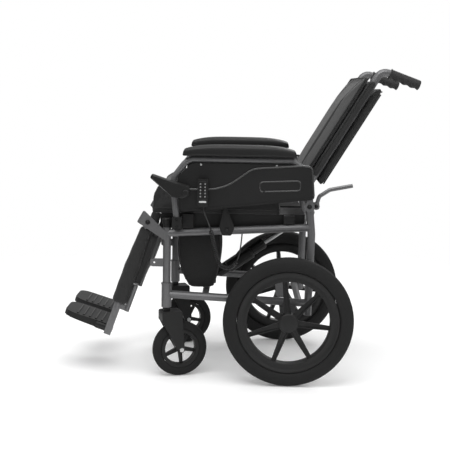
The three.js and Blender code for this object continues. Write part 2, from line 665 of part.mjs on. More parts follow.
// Battery bag hung below the pan, a soft box with a rounded belly
function batteryBag() {
  const fromY = postY + bag.behindPost;
  const toY = fromY + bag.long;
  const topZ = underPanZ(fromY) - seatGap;
  const middleZ = topZ - bag.middleDrop;
  const lowZ = topZ - bag.deep;
  const middleY = (fromY + toY) / 2;
  const outline = rounded([
    [fromY, topZ, bag.topR], [fromY - bag.belly, middleZ, bag.bellyR], [fromY + bag.toeIn, lowZ, bag.lowR],
    [toY - bag.toeIn, lowZ, bag.lowR], [toY, middleZ, bag.bellyR],
    [toY - bag.topIn, underPanZ(toY - bag.topIn) - seatGap, bag.topR],
  ], 2);
  const centre = [middleY, underPanZ(middleY) - seatGap];
  const rings = bag.puff_shares.map(([along, grow]) => outline.map(([y, z]) => [
    bag.x + bag.half * along, centre[0] + (y - centre[0]) * grow, centre[1] + (z - centre[1]) * grow,
  ]));
  return lofted(rings);
}
add(chair, 'battery_bag', batteryBag(), black.color, { roughness: 0.9 });

// Black caps on the front posts and moulded sockets that take the armrests' front legs
function postCap() {
  const { r, tall, brim, neck } = cap;
  return turned([
    [0, post.topZ + seatGap], [r - brim, post.topZ + seatGap], [r - brim, post.topZ + neck],
    [r, post.topZ + neck],
    [r, post.topZ + tall - brim], [r - brim, post.topZ + tall], [0, post.topZ + tall],
  ], 'z', [frameHalf, postY, 0], around.tube);
}

function armSocket() {
  const { y, z } = armFront;
  const railTop = upperRailZ(y + socket.long / 3) + tubeR + seatGap;
  const shell = block([armX - socket.half, y - socket.long / 2, z - socket.floor],
    [armX + socket.half, y + socket.long / 2, z + socket.depth]);
  const bridge = block([frameHalf - tubeR / 2, y - socket.long / 3, railTop],
    [armX - socket.half + weldBite, y + socket.long / 3, railTop + socket.footTall]);
  const mouth = block(
    [armX - arm.r - socket.room, y - arm.r - socket.slack, z - sideGap],
    [armX + arm.r + socket.room, y + arm.r + socket.room, z + socket.depth + cutOver],
  );
  return cut(join(shell, bridge), mouth);
}

for (const [word, side] of sides) {
  add(chair, `post_cap_${word}`, postCap(), black.color, black.finish, side);
  add(chair, `arm_socket_${word}`, armSocket(), black.color, black.finish, side);
}

// Rear wheel drawn about its own axle, +X outward
function tyre(radius, seamR, width, shoulder, bead, facets) {
  const half = width / 2;
  const profile = [
    [seamR, -half * tyreForm.bead_share], [seamR + bead, -half * tyreForm.wall_share],
    [radius - shoulder, -half],
    [radius - shoulder * tyreForm.turn_share, -half * tyreForm.shoulder_share],
    [radius, -half * tyreForm.crown_share],
    [radius, half * tyreForm.crown_share],
    [radius - shoulder * tyreForm.turn_share, half * tyreForm.shoulder_share],
    [radius - shoulder, half], [seamR + bead, half * tyreForm.wall_share],
    [seamR, half * tyreForm.bead_share],
  ];
  return turned([...profile, profile[0]], 'x', [0, 0, 0], facets);
}

function spokedWheel(w, outerR, facets) {
  const half = w.rimWidth / 2;
  const rim = turned([
    [outerR, -half], [outerR, half], [w.rimInR + w.ridge, half], [w.rimInR, half - w.ridge],
    [w.rimInR, w.ridge - half], [w.rimInR + w.ridge, -half], [outerR, -half],
  ], 'x', [0, 0, 0], facets);
  const hub = rod('x', [-w.hubHalf, 0, 0], 2 * w.hubHalf, w.hubR, around.tube);
  const cap = w.capR ? turned([
    [0, w.hubHalf - weldBite], [w.capR, w.hubHalf - weldBite], [w.capR, w.hubHalf - weldBite / 2],
    [w.capR * tyreForm.dome_share, w.hubHalf + w.capDepth / 2], [0, w.hubHalf + w.capDepth / 2],
  ], 'x', [0, 0, 0], around.tube) : null;
  const spoke = (angle) => {
    const ring = (r, wide, deep) => [
      [-deep / 2, -wide / 2, r], [deep / 2 - w.ridge, -wide / 2, r], [deep / 2, 0, r],
      [deep / 2 - w.ridge, wide / 2, r], [-deep / 2, wide / 2, r],
    ];
    const rings = [
      ring(w.hubR - weldBite * 2, w.spokeHub, w.spokeDeep),
        ring(w.rimInR + weldBite, w.spokeRim, w.spokeThin),
    ];
    const turn = new THREE.Euler(angle - Math.PI / 2, 0, 0);
    return lofted(rings.map((r) => r.map((p) => new THREE.Vector3(...p).applyEuler(turn).toArray())));
  };
  const arms = Array.from({ length: w.spokes },
    (_, i) => spoke(w.firstSpokeDeg * deg + (i / w.spokes) * 2 * Math.PI));
  const parts = cap ? [rim, cap, ...arms] : [rim, ...arms];
  return join(hub, ...parts);
}

for (const [word, side] of sides) {
  const spin = new THREE.Group();
  spin.position.set(side * wheelX, wheel.y, wheel.radius);
  chair.add(spin);
  const blindBore = hole('x', [-wheel.hubHalf - cutOver, 0, 0],
    wheel.hubHalf + cutOver + axlePlate.reach + runningGap * 2, wheel.axleR + runningGap, around.tube);
  const body = cut(spokedWheel(wheel, wheel.seamR - seatGap, around.wheel), blindBore);
  add(spin, `rear_wheel_${word}`, body, black.color, black.finish, side);
  add(spin, `rear_tyre_${word}`,
    tyre(wheel.radius, wheel.seamR, wheel.tyreWidth, wheel.treadFlat, wheel.beadIn, around.wheel),
    rubber.color, rubber.finish, side);
}

// Caster fork: one moulded head that runs down into two legs
function forkBody() {
  const inner = caster.hubHalf + sideGap;
  const outline = rounded([
    [-caster.headR, caster.headLow], [-caster.headR, caster.headTop, caster.headR / 3],
    [caster.headLong - caster.headR, caster.headTop, caster.headR / 3],
    [caster.headLong - caster.headR, caster.headLow + caster.legThick, caster.headR / 2],
    [caster.trail + caster.legWideLow / 2, caster.radius, caster.legWideLow / 2],
    [caster.trail, caster.radius - caster.legWideLow * forkForm.toe_share, caster.legWideLow / 3],
    [caster.trail - caster.legWideLow * forkForm.heel_share, caster.radius, caster.legWideLow / 2],
    [-caster.headR * forkForm.knee_share, caster.headLow - caster.legThick, caster.headR / 2],
  ]);
  const whole = plate(outline, -inner - caster.legThick, inner + caster.legThick);
  const room = block([-inner, -caster.headR - cutOver, -cutOver],
    [inner, caster.trail + caster.radius + cutOver, caster.headLow]);
  const stem = rod('z', [0, 0, caster.headTop - weldBite], caster.stemUp + post.lowZ - caster.headTop,
    caster.stemR);
  const collar = rod('z', [0, 0, caster.headTop - weldBite],
    post.lowZ - seatGap - caster.headTop + weldBite, forkForm.collarR);
  const bore = hole('x', [-inner - caster.legThick - cutOver, caster.trail, caster.radius],
    2 * (inner + caster.legThick + cutOver), caster.axleR + runningGap / 2, around.pin);
  return cut(join(whole, stem, collar), room, bore);
}

function casterBolt() {
  const reach = caster.hubHalf + sideGap + caster.legThick + seatGap;
  return join(
    rod('x', [-reach, 0, 0], 2 * reach, caster.axleR, around.pin),
    rod('x', [reach, 0, 0], caster.boltHead, caster.boltR, 6),
    rod('x', [-reach, 0, 0], -caster.boltHead, caster.boltR, 6),
  );
}

for (const [word, side] of sides) {
  const swivel = new THREE.Group();
  swivel.position.set(side * frameHalf, postY, 0);
  swivel.rotation.z = caster.yawDeg * deg;
  chair.add(swivel);
  const spin = new THREE.Group();
  spin.position.set(0, caster.trail, caster.radius);
  swivel.add(spin);
  const bore = hole('x', [-caster.hubHalf - cutOver, 0, 0], 2 * (caster.hubHalf + cutOver),
    caster.axleR + runningGap, around.pin);
  add(swivel, `caster_fork_${word}`, forkBody(), black.color, black.finish, side);
  add(spin, `caster_bolt_${word}`, casterBolt(), steel.color, steel.finish, side);
  add(spin, `caster_wheel_${word}`,
    cut(spokedWheel(casterRim, caster.seamR - seatGap, around.caster), bore),
    black.color, black.finish, side);
  add(spin, `caster_tyre_${word}`,
    tyre(caster.radius, caster.seamR, caster.width, caster.tyreShoulder, caster.beadIn, around.caster),
    rubber.color, rubber.finish, side);
}

// A prism standing on an outline [x, y] from one height to another
function prism(outline, fromZ, toZ) {
  const shape = new THREE.Shape(outline.map(([x, y]) => new THREE.Vector2(x, y)));
  const g = new THREE.ExtrudeGeometry(shape, { depth: toZ - fromZ, bevelEnabled: false });
  g.translate(0, 0, fromZ);
  return solid(g);
}

const roundBox = (halfX, lowY, highY, r, steps) => rounded([
  [-halfX, lowY, r], [halfX, lowY, r], [halfX, highY, r], [-halfX, highY, r],
], steps);

const backGroup = new THREE.Group();
backGroup.position.set(0, hub.y, hub.z);
backGroup.rotation.x = -recline.leanDeg * deg;
chair.add(backGroup);

const gripPitch = (recline.leanDeg - grip.slopeDeg) * deg;
const gripRun = grip.long - grip.wallEnd - seatGap;
const gripRise = back.gripAt * Math.tan(gripPitch);

function cane(side) {
  const x = side * frameHalf;
  const tipY = back.gripAt + gripRun * Math.cos(gripPitch);
  const bar = tube(routed([
    [x, 0, back.caneFrom], [x, 0, back.caneTop, back.caneBend],
    [x, tipY, back.caneTop + tipY * Math.tan(gripPitch)],
  ], around.bend + 2), grip.boreR - seatGap);
  const half = ears.tang / 2;
  const tang = join(
    rod('x', [x - half, 0, 0], ears.tang, back.tangR, around.tube),
    block([x - half, -back.tangWide, 0], [x + half, back.tangWide, back.caneFrom + weldBite * 2]),
  );
  const eyeHole = hole('x', [x - half - cutOver, 0, 0], ears.tang + 2 * cutOver, ears.pinR + runningGap,
    around.pin);
  return cut(join(bar, tang), eyeHole);
}

// The crank hangs from the cross tube and ends in the pin that the drive pushes
function driveCrank() {
  const swing = (crank.aftDeg + recline.leanDeg) * deg;
  const tip = [crank.long * Math.sin(swing), -crank.long * Math.cos(swing)];
  const along = new THREE.Vector2(tip[0], tip[1] - back.cross).normalize();
  const half = crank.wide / 2;
  const blade = plate([
    [-along.y * half, back.cross + along.x * half], [along.y * half, back.cross - along.x * half],
    [tip[0] + along.y * half, tip[1] - along.x * half], [tip[0] - along.y * half, tip[1] + along.x * half],
  ], drive.x - crank.thick / 2, drive.x + crank.thick / 2);
  const eye = rod('x', [drive.x - crank.thick / 2, ...tip], crank.thick, crank.eyeR, around.tube);
  return join(blade, eye);
}

const backFrame = join(
  cane(1), cane(-1),
  rod('x', [-frameHalf + tubeR / 2, 0, back.cross], 2 * frameHalf - tubeR, back.crossR, around.tube),
  driveCrank(),
);
add(backGroup, 'back_frame', backFrame, paint.color, paint.finish);

// Padded upholstery with a sleeve for each cane, folded over at the top into a deep rear flap
const sleeves = [1, -1].map((side) => hole('z', [side * frameHalf, 0, sling.from - cutOver],
  sling.to - sling.from + 2 * cutOver, tubeR + seatGap, around.tube));
const sheet = cut(prism(roundBox(frameHalf + sling.beyond, sling.front, sling.rear, sling.cornerR),
  sling.from, sling.to), ...sleeves);
const flapHalf = frameHalf + backShell.beyond;
const flapFront = sling.rear + backShell.gap;
const flapTop = sling.to - backShell.drop;
const flap = plate(rounded([
  [flapFront, backShell.from, backShell.cornerR], [backShell.rear, backShell.from, backShell.cornerR],
  [backShell.rear, flapTop - (backShell.rear - flapFront) * backShell.slope_share, backShell.cornerR],
  [flapFront, flapTop],
]), -flapHalf, flapHalf);
const fold = block([backShell.foldIn - frameHalf, sling.rear - weldBite, flapTop - backShell.foldTall],
  [frameHalf - backShell.foldIn, flapFront + weldBite, flapTop]);
add(backGroup, 'back_upholstery', join(sheet, fold, flap), cloth.color, cloth.finish);

// Back cushion: a straight edge at the sides, a crowned face between two sewn channels, a rolled top
const backCushion = padded([backPad.cellsX, backPad.cellsY, backPad.cellsZ], (a, b, c) => {
  const long = sling.to + backPad.over - backPad.from;
  const front = (1 - b) / 2;
  const draw = backPad.draw * (1 - b * b);
  const roll = backPad.roll * Math.max(0, -b) ** 2;
  const stitched = backPad.channel_shares.some((s) => Math.abs(a - s) < backPad.nearShare);
  const crown = (backPad.crown * (1 - a ** 4) * (1 - c ** 4)) - (stitched ? backPad.channel : 0);
  return [
    a * (frameHalf + backPad.beyond - draw * (1 - c ** 4) - roll / 2),
    sling.front - seatGap - front * (backPad.thick + crown),
    backPad.from + (long * (c + 1)) / 2 - c * (draw * (1 - a ** 4) + roll * Math.max(0, c)),
  ];
});
add(backGroup, 'back_cushion', backCushion, cloth.color, cloth.finish);

// Push grip: rings along its own axis, with finger scallops underneath
function gripBody() {
  const rings = [];
  for (let k = 0; k < grip.rings; k += 1) {
    const share = k / (grip.rings - 1);
    const dip = grip.scallopDeep * (0.5 - 0.5 * Math.cos(share * grip.scallops * 2 * Math.PI));
    rings.push(Array.from({ length: around.tube }, (_, i) => {
      const t = (i / around.tube) * 2 * Math.PI;
      const low = Math.max(0, -Math.sin(t));
      const r = grip.r + grip.swell * low - dip * low;
      return [r * Math.cos(t), share * grip.long, r * Math.sin(t)];
    }));
  }
  const bore = hole('y', [0, -cutOver, 0], gripRun + seatGap + cutOver, grip.boreR, around.tube);
  return cut(lofted(rings), bore);
}

for (const [word, side] of sides) {
  const hold = new THREE.Group();
  hold.position.set(side * frameHalf, back.gripAt, back.caneTop + gripRise);
  hold.rotation.x = gripPitch;
  backGroup.add(hold);
  add(hold, `push_grip_${word}`, gripBody(), black.color, black.finish, side);
}

// One leg drawn about the knee pivot: -z down the leg, -y forward
function legTube() {
  const half = leg.eyeThick / 2;
  const eye = rod('x', [-half, 0, 0], leg.eyeThick, leg.eyeR, around.tube);
  const upper = rod('z', [0, 0, -leg.eyeR / 2], leg.eyeR / 2 - leg.upperLong, leg.upperR);
  const bar = block([-leg.barHalfWide, -leg.barHalfDeep, -barTo],
    [leg.barHalfWide, leg.barHalfDeep, -barFrom]);
  const calfBarY = cover.rear + leg.calfBarR;
  const calfBarTo = coverTo + leg.calfBarBelow;
  const calfBarFrom = calf.from + calf.long + sideGap * 2;
  const calfBar = rod('z', [0, calfBarY, -calfBarTo], calfBarTo - calfBarFrom, leg.calfBarR);
  const calfTie = block([-leg.calfBarR / 2, 0, -calfBarTo],
    [leg.calfBarR / 2, calfBarY, leg.calfBarR * 2 - calfBarTo]);
  const knuckle = join(
    rod('y', [footAt.x, -leg.barHalfDeep, -footAt.down], 2 * leg.barHalfDeep, leg.knuckleR),
    block([footAt.x, -leg.barHalfDeep, -footAt.down - leg.knuckleR / 2],
      [0, leg.barHalfDeep, leg.knuckleR / 2 - footAt.down]),
    rod('y', [footAt.x, -leg.barHalfDeep - foot.barrelLong - foot.frontGap, -footAt.down],
      foot.barrelLong + foot.frontGap + leg.barHalfDeep, foot.pinR, around.pin),
  );
  const bore = hole('x', [-half - cutOver, 0, 0], leg.eyeThick + 2 * cutOver, knee.pinR + runningGap,
    around.pin);
  return cut(join(eye, upper, bar, calfBar, calfTie, knuckle), bore);
}

// Padded cover round the leg tube: a soft box with a narrow neck beside the hanger plate
function legCover() {
  const ring = (down, half, grow) => rounded([
    [-half, -cover.front * grow, half * cover.corner_share],
    [half, -cover.front * grow, half * cover.corner_share],
    [half, cover.rear * grow, half * cover.corner_share],
    [-half, cover.rear * grow, half * cover.corner_share],
  ], 2).map(([x, y]) => [x, y, -down]);
  const body = lofted([
    ring(coverTo, cover.half * cover.endShare, cover.endShare),
      ring(coverTo - cover.endLong, cover.half, 1),
    ring((cover.from + coverTo) / 2, cover.half, 1),
      ring(cover.neckTo + cover.shoulder, cover.half, cover.neckShare),
    ring(cover.neckTo, cover.neckHalf, cover.neckShare),
      ring(cover.from, cover.neckHalf, cover.neckShare * cover.endShare),
  ]);
  const bore = hole('z', [0, 0, -coverTo - cutOver], coverTo - cover.from + 2 * cutOver,
    leg.upperR + seatGap);
  return cut(body, bore);
}

// Calf pad behind the cover, reaching in towards the middle of the chair
function calfPad() {
  const front = cover.rear + seatGap;
  return padded([calf.cellsX, calf.cellsY, calf.cellsZ], (a, b, c) => {
    const draw = calf.draw * (1 - b * b);
    const crown = calf.crown * (1 - a ** 4) * (1 - c ** 4) * Math.max(0, b);
    return [
      calf.outX - calf.wide * (1 - a) / 2 - a * draw * (1 - c ** 4),
      front + (calf.thick - calf.crown) * (b + 1) / 2 + crown,
      -calf.from - calf.long / 2 + (c * calf.long) / 2 - c * draw * (1 - a ** 4),
    ];
  });
}

// Footplate: side outline drawn flat, toes to -y, with raised treads across the top
function footPlate() {
  const rear = -leg.barHalfDeep - foot.frontGap;
  const toe = rear - foot.long;
  const outX = footAt.x - foot.plateInset;
  const inX = foot.fromMiddle - legX;
  const topZ = foot.thick - foot.below;
  const slab = plate(rounded([
    [rear, -foot.below, foot.edge / 2], [rear, topZ, foot.edge / 3],
    [toe, topZ - foot.toeDrop, foot.edge / 2], [toe, topZ - foot.toeDrop - foot.toeThin, foot.edge / 3],
  ]), inX, outX);
  const plan = prism(rounded([
    [inX, toe, foot.toeR], [outX, toe, foot.toeR], [outX, rear, foot.heelR], [inX, rear, foot.heelR],
  ], 4), -foot.thick, 2 * foot.thick);
  const treads = Array.from({ length: foot.ribs }, (_, i) => {
    const run = foot.heelR + (i + 0.5) * (foot.ribsLong / foot.ribs);
    const fall = (foot.toeDrop * run) / foot.long;
    return block([inX + foot.edge, rear - run - foot.ribWide / 2, 0],
      [outX - foot.edge, rear - run + foot.ribWide / 2, topZ - fall + foot.ribTall]);
  });
  const barrel = join(
    rod('y', [footAt.x, rear - foot.barrelLong, 0], foot.barrelLong, foot.barrelR),
    block([outX - weldBite, rear - foot.barrelLong, -foot.below], [footAt.x, rear, foot.barrelR / 2]),
  );
  const pinHole = hole('y', [footAt.x, rear - foot.barrelLong - cutOver, 0], foot.barrelLong + 2 * cutOver,
    foot.pinR + runningGap, around.pin);
  return cut(join(slab.intersect(plan), ...treads, barrel), pinHole);
}

for (const [word, side] of sides) {
  const legGroup = new THREE.Group();
  legGroup.position.set(side * legX, kneeAt.y, kneeAt.z);
  legGroup.rotation.x = -knee.leanDeg * deg;
  chair.add(legGroup);
  add(legGroup, `leg_tube_${word}`, legTube(), paint.color, paint.finish, side);
  add(legGroup, `leg_cover_${word}`, legCover(), cloth.color, cloth.finish, side);
  add(legGroup, `calf_pad_${word}`, calfPad(), cloth.color, cloth.finish, side);
  const plateGroup = new THREE.Group();
  plateGroup.position.set(0, 0, -footAt.down);
  legGroup.add(plateGroup);
  add(plateGroup, `footplate_${word}`, footPlate(), black.color, black.finish, side);
}

// Bent armrest tube with an eye at its rear foot
function armTube() {
  const bar = tube(routed([
    [armX, armFront.y, armFront.z], [armX, postY + arm.kneeAft, armTopZ - arm.kneeDrop, arm.bendR],
    [armX, postY + arm.bendAft, armTopZ, arm.bendR],
    [armX, rearTop.y - arm.rearBend, armTopZ, arm.bendR / 2],
    [armX, rearTop.y - arm.rearKnee, armTopZ - arm.rearKneeDrop, arm.bendR / 2],
    [armX, armHub.y, armHub.z],
  ], 3), arm.r);
  const eye = rod('x', [armX - arm.eyeThick / 2, armHub.y, armHub.z], arm.eyeThick, arm.eyeR, around.tube);
  const faces = [1, -1].map((side) => {
    const near = armX + (side * arm.eyeThick) / 2;
    const x = side > 0 ? [near, near + arm.r] : [near - arm.r, near];
    return block([x[0], armHub.y - arm.eyeR - cutOver, armHub.z - arm.eyeR],
      [x[1], armHub.y + arm.eyeR + cutOver, armHub.z + arm.eyeR + arm.r]);
  });
  const pinHole = hole('x', [armX - arm.r - cutOver, armHub.y, armHub.z], 2 * (arm.r + cutOver),
    armPivot.pinR + runningGap, around.pin);
  return cut(join(bar, eye), ...faces, pinHole);
}

// Pad: flat underneath, crowned along and across, its ends falling away
const padTop = (b) => armPad.edgeTall + (armPad.tall - armPad.edgeTall)
  * (1 - Math.abs(b) ** armPad.endPower);

const padEnds = { frontY: postY + arm.bendAft - armPad.nose,
  rearY: rearTop.y - arm.rearBend + armPad.tail };

const armPadBody = () => padded([armPad.cellsX, armPad.cellsY, armPad.cellsZ], (a, b, c) => {
  const up = (c + 1) / 2;
  const tall = padTop(b) - armPad.crossDrop * up * a * a;
  const half = armPad.half * (1 - armPad.noseShare * Math.abs(b) ** armPad.nosePower) - armPad.draw
    * (1 - c * c);
  return [
    armX + a * half,
    (padEnds.frontY + padEnds.rearY) / 2 + (b * (padEnds.rearY - padEnds.frontY)) / 2 - b * armPad.endRoll
      * up * up,
    armTopZ + arm.r + seatGap + up * tall,
  ];
});

// Moulded side panel: an S-curved skirt with a raised rim on a thin sheet that fills the arm's frame
const panelSide = {
  frontY: postY + panel.frontAft, lowFrontZ: post.topZ + panel.frontRise, rearY: rearTop.y + panel.rearOut,
  topZ: armTopZ - panel.topDrop, lowRearY: rearTop.y + panel.lowRearOut,
  lowRearZ: armHub.z + panel.lowRearRise, sheetZ: armTopZ - panel.sheetDrop,
  crestEndY: rearTop.y - panel.crestEnd,
};

function skirtOutline() {
  const p = panelSide;
  const crest = { y: postY + panel.crestAft, z: armTopZ - panel.crestDrop };
  const rise = new THREE.CubicBezierCurve(
    new THREE.Vector2(postY + panel.flatTo, panelNoseZ),
    new THREE.Vector2(postY + panel.riseFrom + panel.sBend, panelNoseZ),
    new THREE.Vector2(crest.y - panel.sBend, crest.z), new THREE.Vector2(crest.y, crest.z),
  ).getPoints(8).map((q) => [q.x, q.y]);
  return rounded([
    [p.frontY, p.lowFrontZ, panel.cornerR], [p.lowRearY, p.lowRearZ, panel.cornerR],
    [p.rearY, p.topZ, panel.cornerR],
    [p.crestEndY, p.topZ + panel.crestRise], ...rise.reverse(), [p.frontY, panelNoseZ, panel.cornerR],
  ]);
}

function sheetOutline() {
  const p = panelSide;
  return rounded([
    [p.frontY, p.lowFrontZ, panel.cornerR], [p.lowRearY, p.lowRearZ, panel.cornerR],
    [p.rearY, p.topZ, panel.cornerR],
    [p.crestEndY, p.sheetZ, panel.cornerR], [postY + panel.sheetBack, p.sheetZ, panel.sheetR],
    [postY + panel.sheetAft, armTopZ - panel.sheetKnee, panel.sheetR],
  ]);
}

const shrunk = (outline, by) => {
  const count = outline.length;
  return outline.map(([y, z], i) => {
    const a = outline[(i + count - 1) % count];
    const b = outline[(i + 1) % count];
    const t = new THREE.Vector2(b[0] - a[0], b[1] - a[1]).normalize();
    return [y - t.y * by, z + t.x * by];
  });
};

function sidePanel(side) {
  const { rim, recess } = panel;
  const skin = panelX + panel.sheet;
  const face = skin + panel.wall;
  const outline = skirtOutline();
  const raised = plate(outline, panelX, face + rim);
  const field = plate(shrunk(outline, panel.rimWide), face, face + rim + cutOver);
  const fromY = rearTop.y - recess.fromBack;
  const lowZ = armHub.z + recess.low;
  const pocket = rounded([
    [fromY, lowZ + recess.tall, recess.r], [fromY, lowZ, recess.r],
    [fromY + recess.long, lowZ + recess.climb, recess.r],
    [fromY + recess.long, lowZ + recess.tall + recess.climb, recess.r],
  ]);
  const ridge = cut(
    plate(pocket, face - weldBite, face + rim / 2),
    plate(shrunk(pocket, recess.band), face, face + rim),
  );
  const sheet = plate(sheetOutline(), panelX, skin);
  const body = join(cut(raised, field), ridge, sheet);
  return side > 0 ? cut(body, hookWindow()) : body;
}

// The opening behind the handset through which its hook reaches over the skirt's edge
function hookWindow() {
  const half = handset.hookWide / 2 + handset.hookRoom;
  return block([panelX - cutOver, handsetAt.y - half, panelNoseZ],
    [panelX + panel.sheet + cutOver, handsetAt.y + half,
      panelNoseZ + handset.hookDrop + handset.hookThick + sideGap]);
}

for (const [word, side] of sides) {
  add(chair, `arm_tube_${word}`, armTube(), paint.color, paint.finish, side);
  add(chair, `arm_pad_${word}`, armPadBody(), black.color, black.finish, side);
  add(chair, `side_panel_${word}`, sidePanel(side), black.color, black.finish, side);
}

// Parking brake levers: leaf-shaped blades standing up from the rails
function brakeLever() {
  const { x, y } = brakeAt;
  const z = upperRailZ(y) + brake.up;
  const tipY = y - brake.long * Math.sin(brake.leanDeg * deg);
  const bowZ = z + brake.footDrop / 2;
  const blade = plate(rounded([
    [y - brake.footHalf, z - brake.footDrop, brake.footHalf / 2],
    [y + brake.footHalf, z - brake.footDrop, brake.footHalf / 2],
    [y + brake.wide, bowZ, brake.bowR], [tipY, z + brake.long, brake.tipR],
    [y - brake.wide, bowZ, brake.bowR],
  ]), x, x + brake.bladeThick);
  return cut(blade, hole('x', [x - cutOver, y, z], brake.bladeThick + 2 * cutOver, brake.pinR + runningGap,
    around.pin));
}
for (const [word, side] of sides) add(chair, `brake_lever_${word}`, brakeLever(), black.color,
  black.finish, side);

// Recline release bar: climbs behind the side panel, then runs back to the hand
function releaseLever() {
  const { x, y, z } = releaseAt;
  const bar = tube(routed([
    [x, y, z], [x, y + release.kneeBack, z + release.kneeUp, release.bendR],
    [x, y + release.wristBack, z + release.wristUp, release.bendR],
    [x, y + release.tipBack, z + release.tipUp],
  ], 3), release.barR, around.pin);
  const eye = rod('x', [x - release.barR, y, z], 2 * release.barR, release.hubR, around.tube);
  const pinHole = hole('x', [x - release.barR - cutOver, y, z], 2 * (release.barR + cutOver),
    release.pinR + runningGap, around.pin);
  return cut(join(bar, eye), pinHole);
}
add(chair, 'recline_release_lever', releaseLever(), paint.color, paint.finish);

// Recline drive, drawn lying along +y from its foot pin
const reach = (() => {
  const swing = crank.aftDeg * deg;
  const tip = new THREE.Vector2(hub.y + crank.long * Math.sin(swing), hub.z - crank.long * Math.cos(swing));
  return tip.sub(new THREE.Vector2(driveFootY, drive.footZ));
})();
const driveGroup = new THREE.Group();
driveGroup.position.set(drive.x, driveFootY, drive.footZ);
driveGroup.rotation.x = Math.atan2(reach.y, reach.x);
chair.add(driveGroup);

function driveBody() {
  const { bodyFrom, bodyLong, bodyR, motorR, motorLong, motorAt, motorX } = drive;
  const half = drive.eyeThick / 2;
  const motorTo = motorAt + motorLong;
  const body = join(
    rod('x', [-half, 0, 0], drive.eyeThick, drive.eyeR, around.tube),
    block([-half, 0, -drive.eyeR * drive.neckShare],
      [half, bodyFrom + weldBite, drive.eyeR * drive.neckShare]),
    turned([[0, bodyFrom], [bodyR - drive.bevel, bodyFrom], [bodyR, bodyFrom + drive.bevel],
      [bodyR, bodyLong],
      [bodyR - drive.bevel, bodyLong + drive.bevel], [0, bodyLong + drive.bevel]], 'y', [0, 0, 0],
      around.tube),
    turned([[0, motorAt], [motorR - drive.bevel, motorAt], [motorR, motorAt + drive.bevel],
      [motorR, motorTo],
      [motorR - drive.bevel, motorTo + drive.bevel], [0, motorTo + drive.bevel]], 'y', [motorX, 0, 0],
      around.tube),
  );
  return cut(body,
    hole('x', [-half - cutOver, 0, 0], drive.eyeThick + 2 * cutOver, drive.pinR + runningGap, around.pin),
    hole('y', [0, bodyFrom + drive.bevel, 0], bodyLong, drive.rodR + drive.boreGap, around.tube));
}

// The push rod ends in a fork that passes either side of the crank's eye
function driveRod() {
  const end = reach.length();
  const half = crank.thick / 2 + sideGap;
  const cheek = (x) => join(
    rod('x', [x, end, 0], drive.cheek, crank.eyeR, around.tube),
    block([x, end - crank.eyeR - drive.forkRoom - weldBite * 2, -crank.eyeR * drive.neckShare],
      [x + drive.cheek, end, crank.eyeR * drive.neckShare]),
  );
  const bridgeY = end - crank.eyeR - drive.forkRoom;
  const bridge = block([-half - drive.cheek, bridgeY - drive.bridge, -crank.eyeR * drive.neckShare],
    [half + drive.cheek, bridgeY, crank.eyeR * drive.neckShare]);
  const bar = rod('y', [0, drive.rodFrom, 0], bridgeY - drive.bridge / 2 - drive.rodFrom, drive.rodR,
    around.tube);
  return join(bar, bridge, cheek(half), cheek(-half - drive.cheek));
}
add(driveGroup, 'recline_drive_body', driveBody(), black.color, black.finish);
add(driveGroup, 'recline_drive_rod', driveRod(), steel.color, steel.finish);

// Control pod: a wedge-shaped hand control clamped to the left armrest's front leg
function controlPod() {
  const fromX = armX + arm.r + pod.out;
  const z = armTopZ - pod.stemDrop;
  const along = (z - armFront.z) / (armTopZ - arm.kneeDrop - armFront.z);
  const y = armFront.y + along * (postY + arm.kneeAft - armFront.y);
  const outline = rounded(podForm.outline_shares.map(([aft, up]) =>
    [y + aft * pod.long, z + up * pod.tall, pod.cornerR]), 2);
  const centre = outline.reduce((sum, p) =>
    [sum[0] + p[0] / outline.length, sum[1] + p[1] / outline.length], [0, 0]);
  const rings = podForm.swell_shares.map(([out, grow]) => outline.map(([y, z]) => [
    fromX + pod.wide * out, centre[0] + (y - centre[0]) * grow, centre[1] + (z - centre[1]) * grow,
  ]));
  const clamp = rod('x', [panelX, y, z], fromX + pod.wide / 2 - panelX, pod.stemR, around.tube);
  const knob = rod('x', [fromX + pod.wide - weldBite * 2, y + pod.knobBack, z - pod.knobDrop],
    pod.knobLong, pod.knobR, around.tube);
  return join(lofted(rings), clamp, knob);
}
add(chair, 'control_pod', controlPod(), black.color, black.finish);

// The lead's top end, in the gland below the handset
const leadTop = {
  x: handsetAt.x + handset.thick / 2, y: handsetAt.y + handset.leadAft,
  z: handsetAt.z - handset.long - handset.glandTall + handset.holeDeep - seatGap,
};

// Handset with two columns of sprung keys, hooked over the top edge of the left side panel
function handsetBody() {
  const h = handset;
  const { x, y } = handsetAt;
  const topZ = handsetAt.z;
  const lowZ = topZ - h.long;
  const half = h.wide / 2;
  const outline = rounded([
    [y - half, lowZ, h.cornerR], [y + half, lowZ, h.cornerR], [y + half, topZ, h.cornerR / 2],
    [y - half, topZ, h.cornerR / 2],
  ]);
  const shell = plate(outline, x, x + h.thick);
  const hookZ = panelNoseZ + seatGap;
  const hookTo = panelX - seatGap;
  const hook = join(
    block([hookTo - h.hookThick, y - h.hookWide / 2, hookZ],
      [x + weldBite, y + h.hookWide / 2, hookZ + h.hookThick]),
    block([hookTo - h.hookThick, y - h.hookWide / 2, hookZ - h.hookDrop],
      [hookTo, y + h.hookWide / 2, hookZ + h.hookThick]),
  );
  const mouthZ = lowZ - h.glandTall;
  const gland = rod('z', [leadTop.x, leadTop.y, mouthZ], h.glandTall + weldBite, h.glandR, around.pin);
  const leadHole = hole('z', [leadTop.x, leadTop.y, mouthZ - cutOver], h.holeDeep + cutOver,
    lead.r + runningGap, around.pin);
  const wells = keyPlaces().map(([ky, kz]) => hole('x', [x + h.thick - h.keyDeep, ky, kz],
    h.keyDeep + cutOver, h.keyHole, around.pin));
  return cut(join(shell, hook, gland), leadHole, ...wells);
}

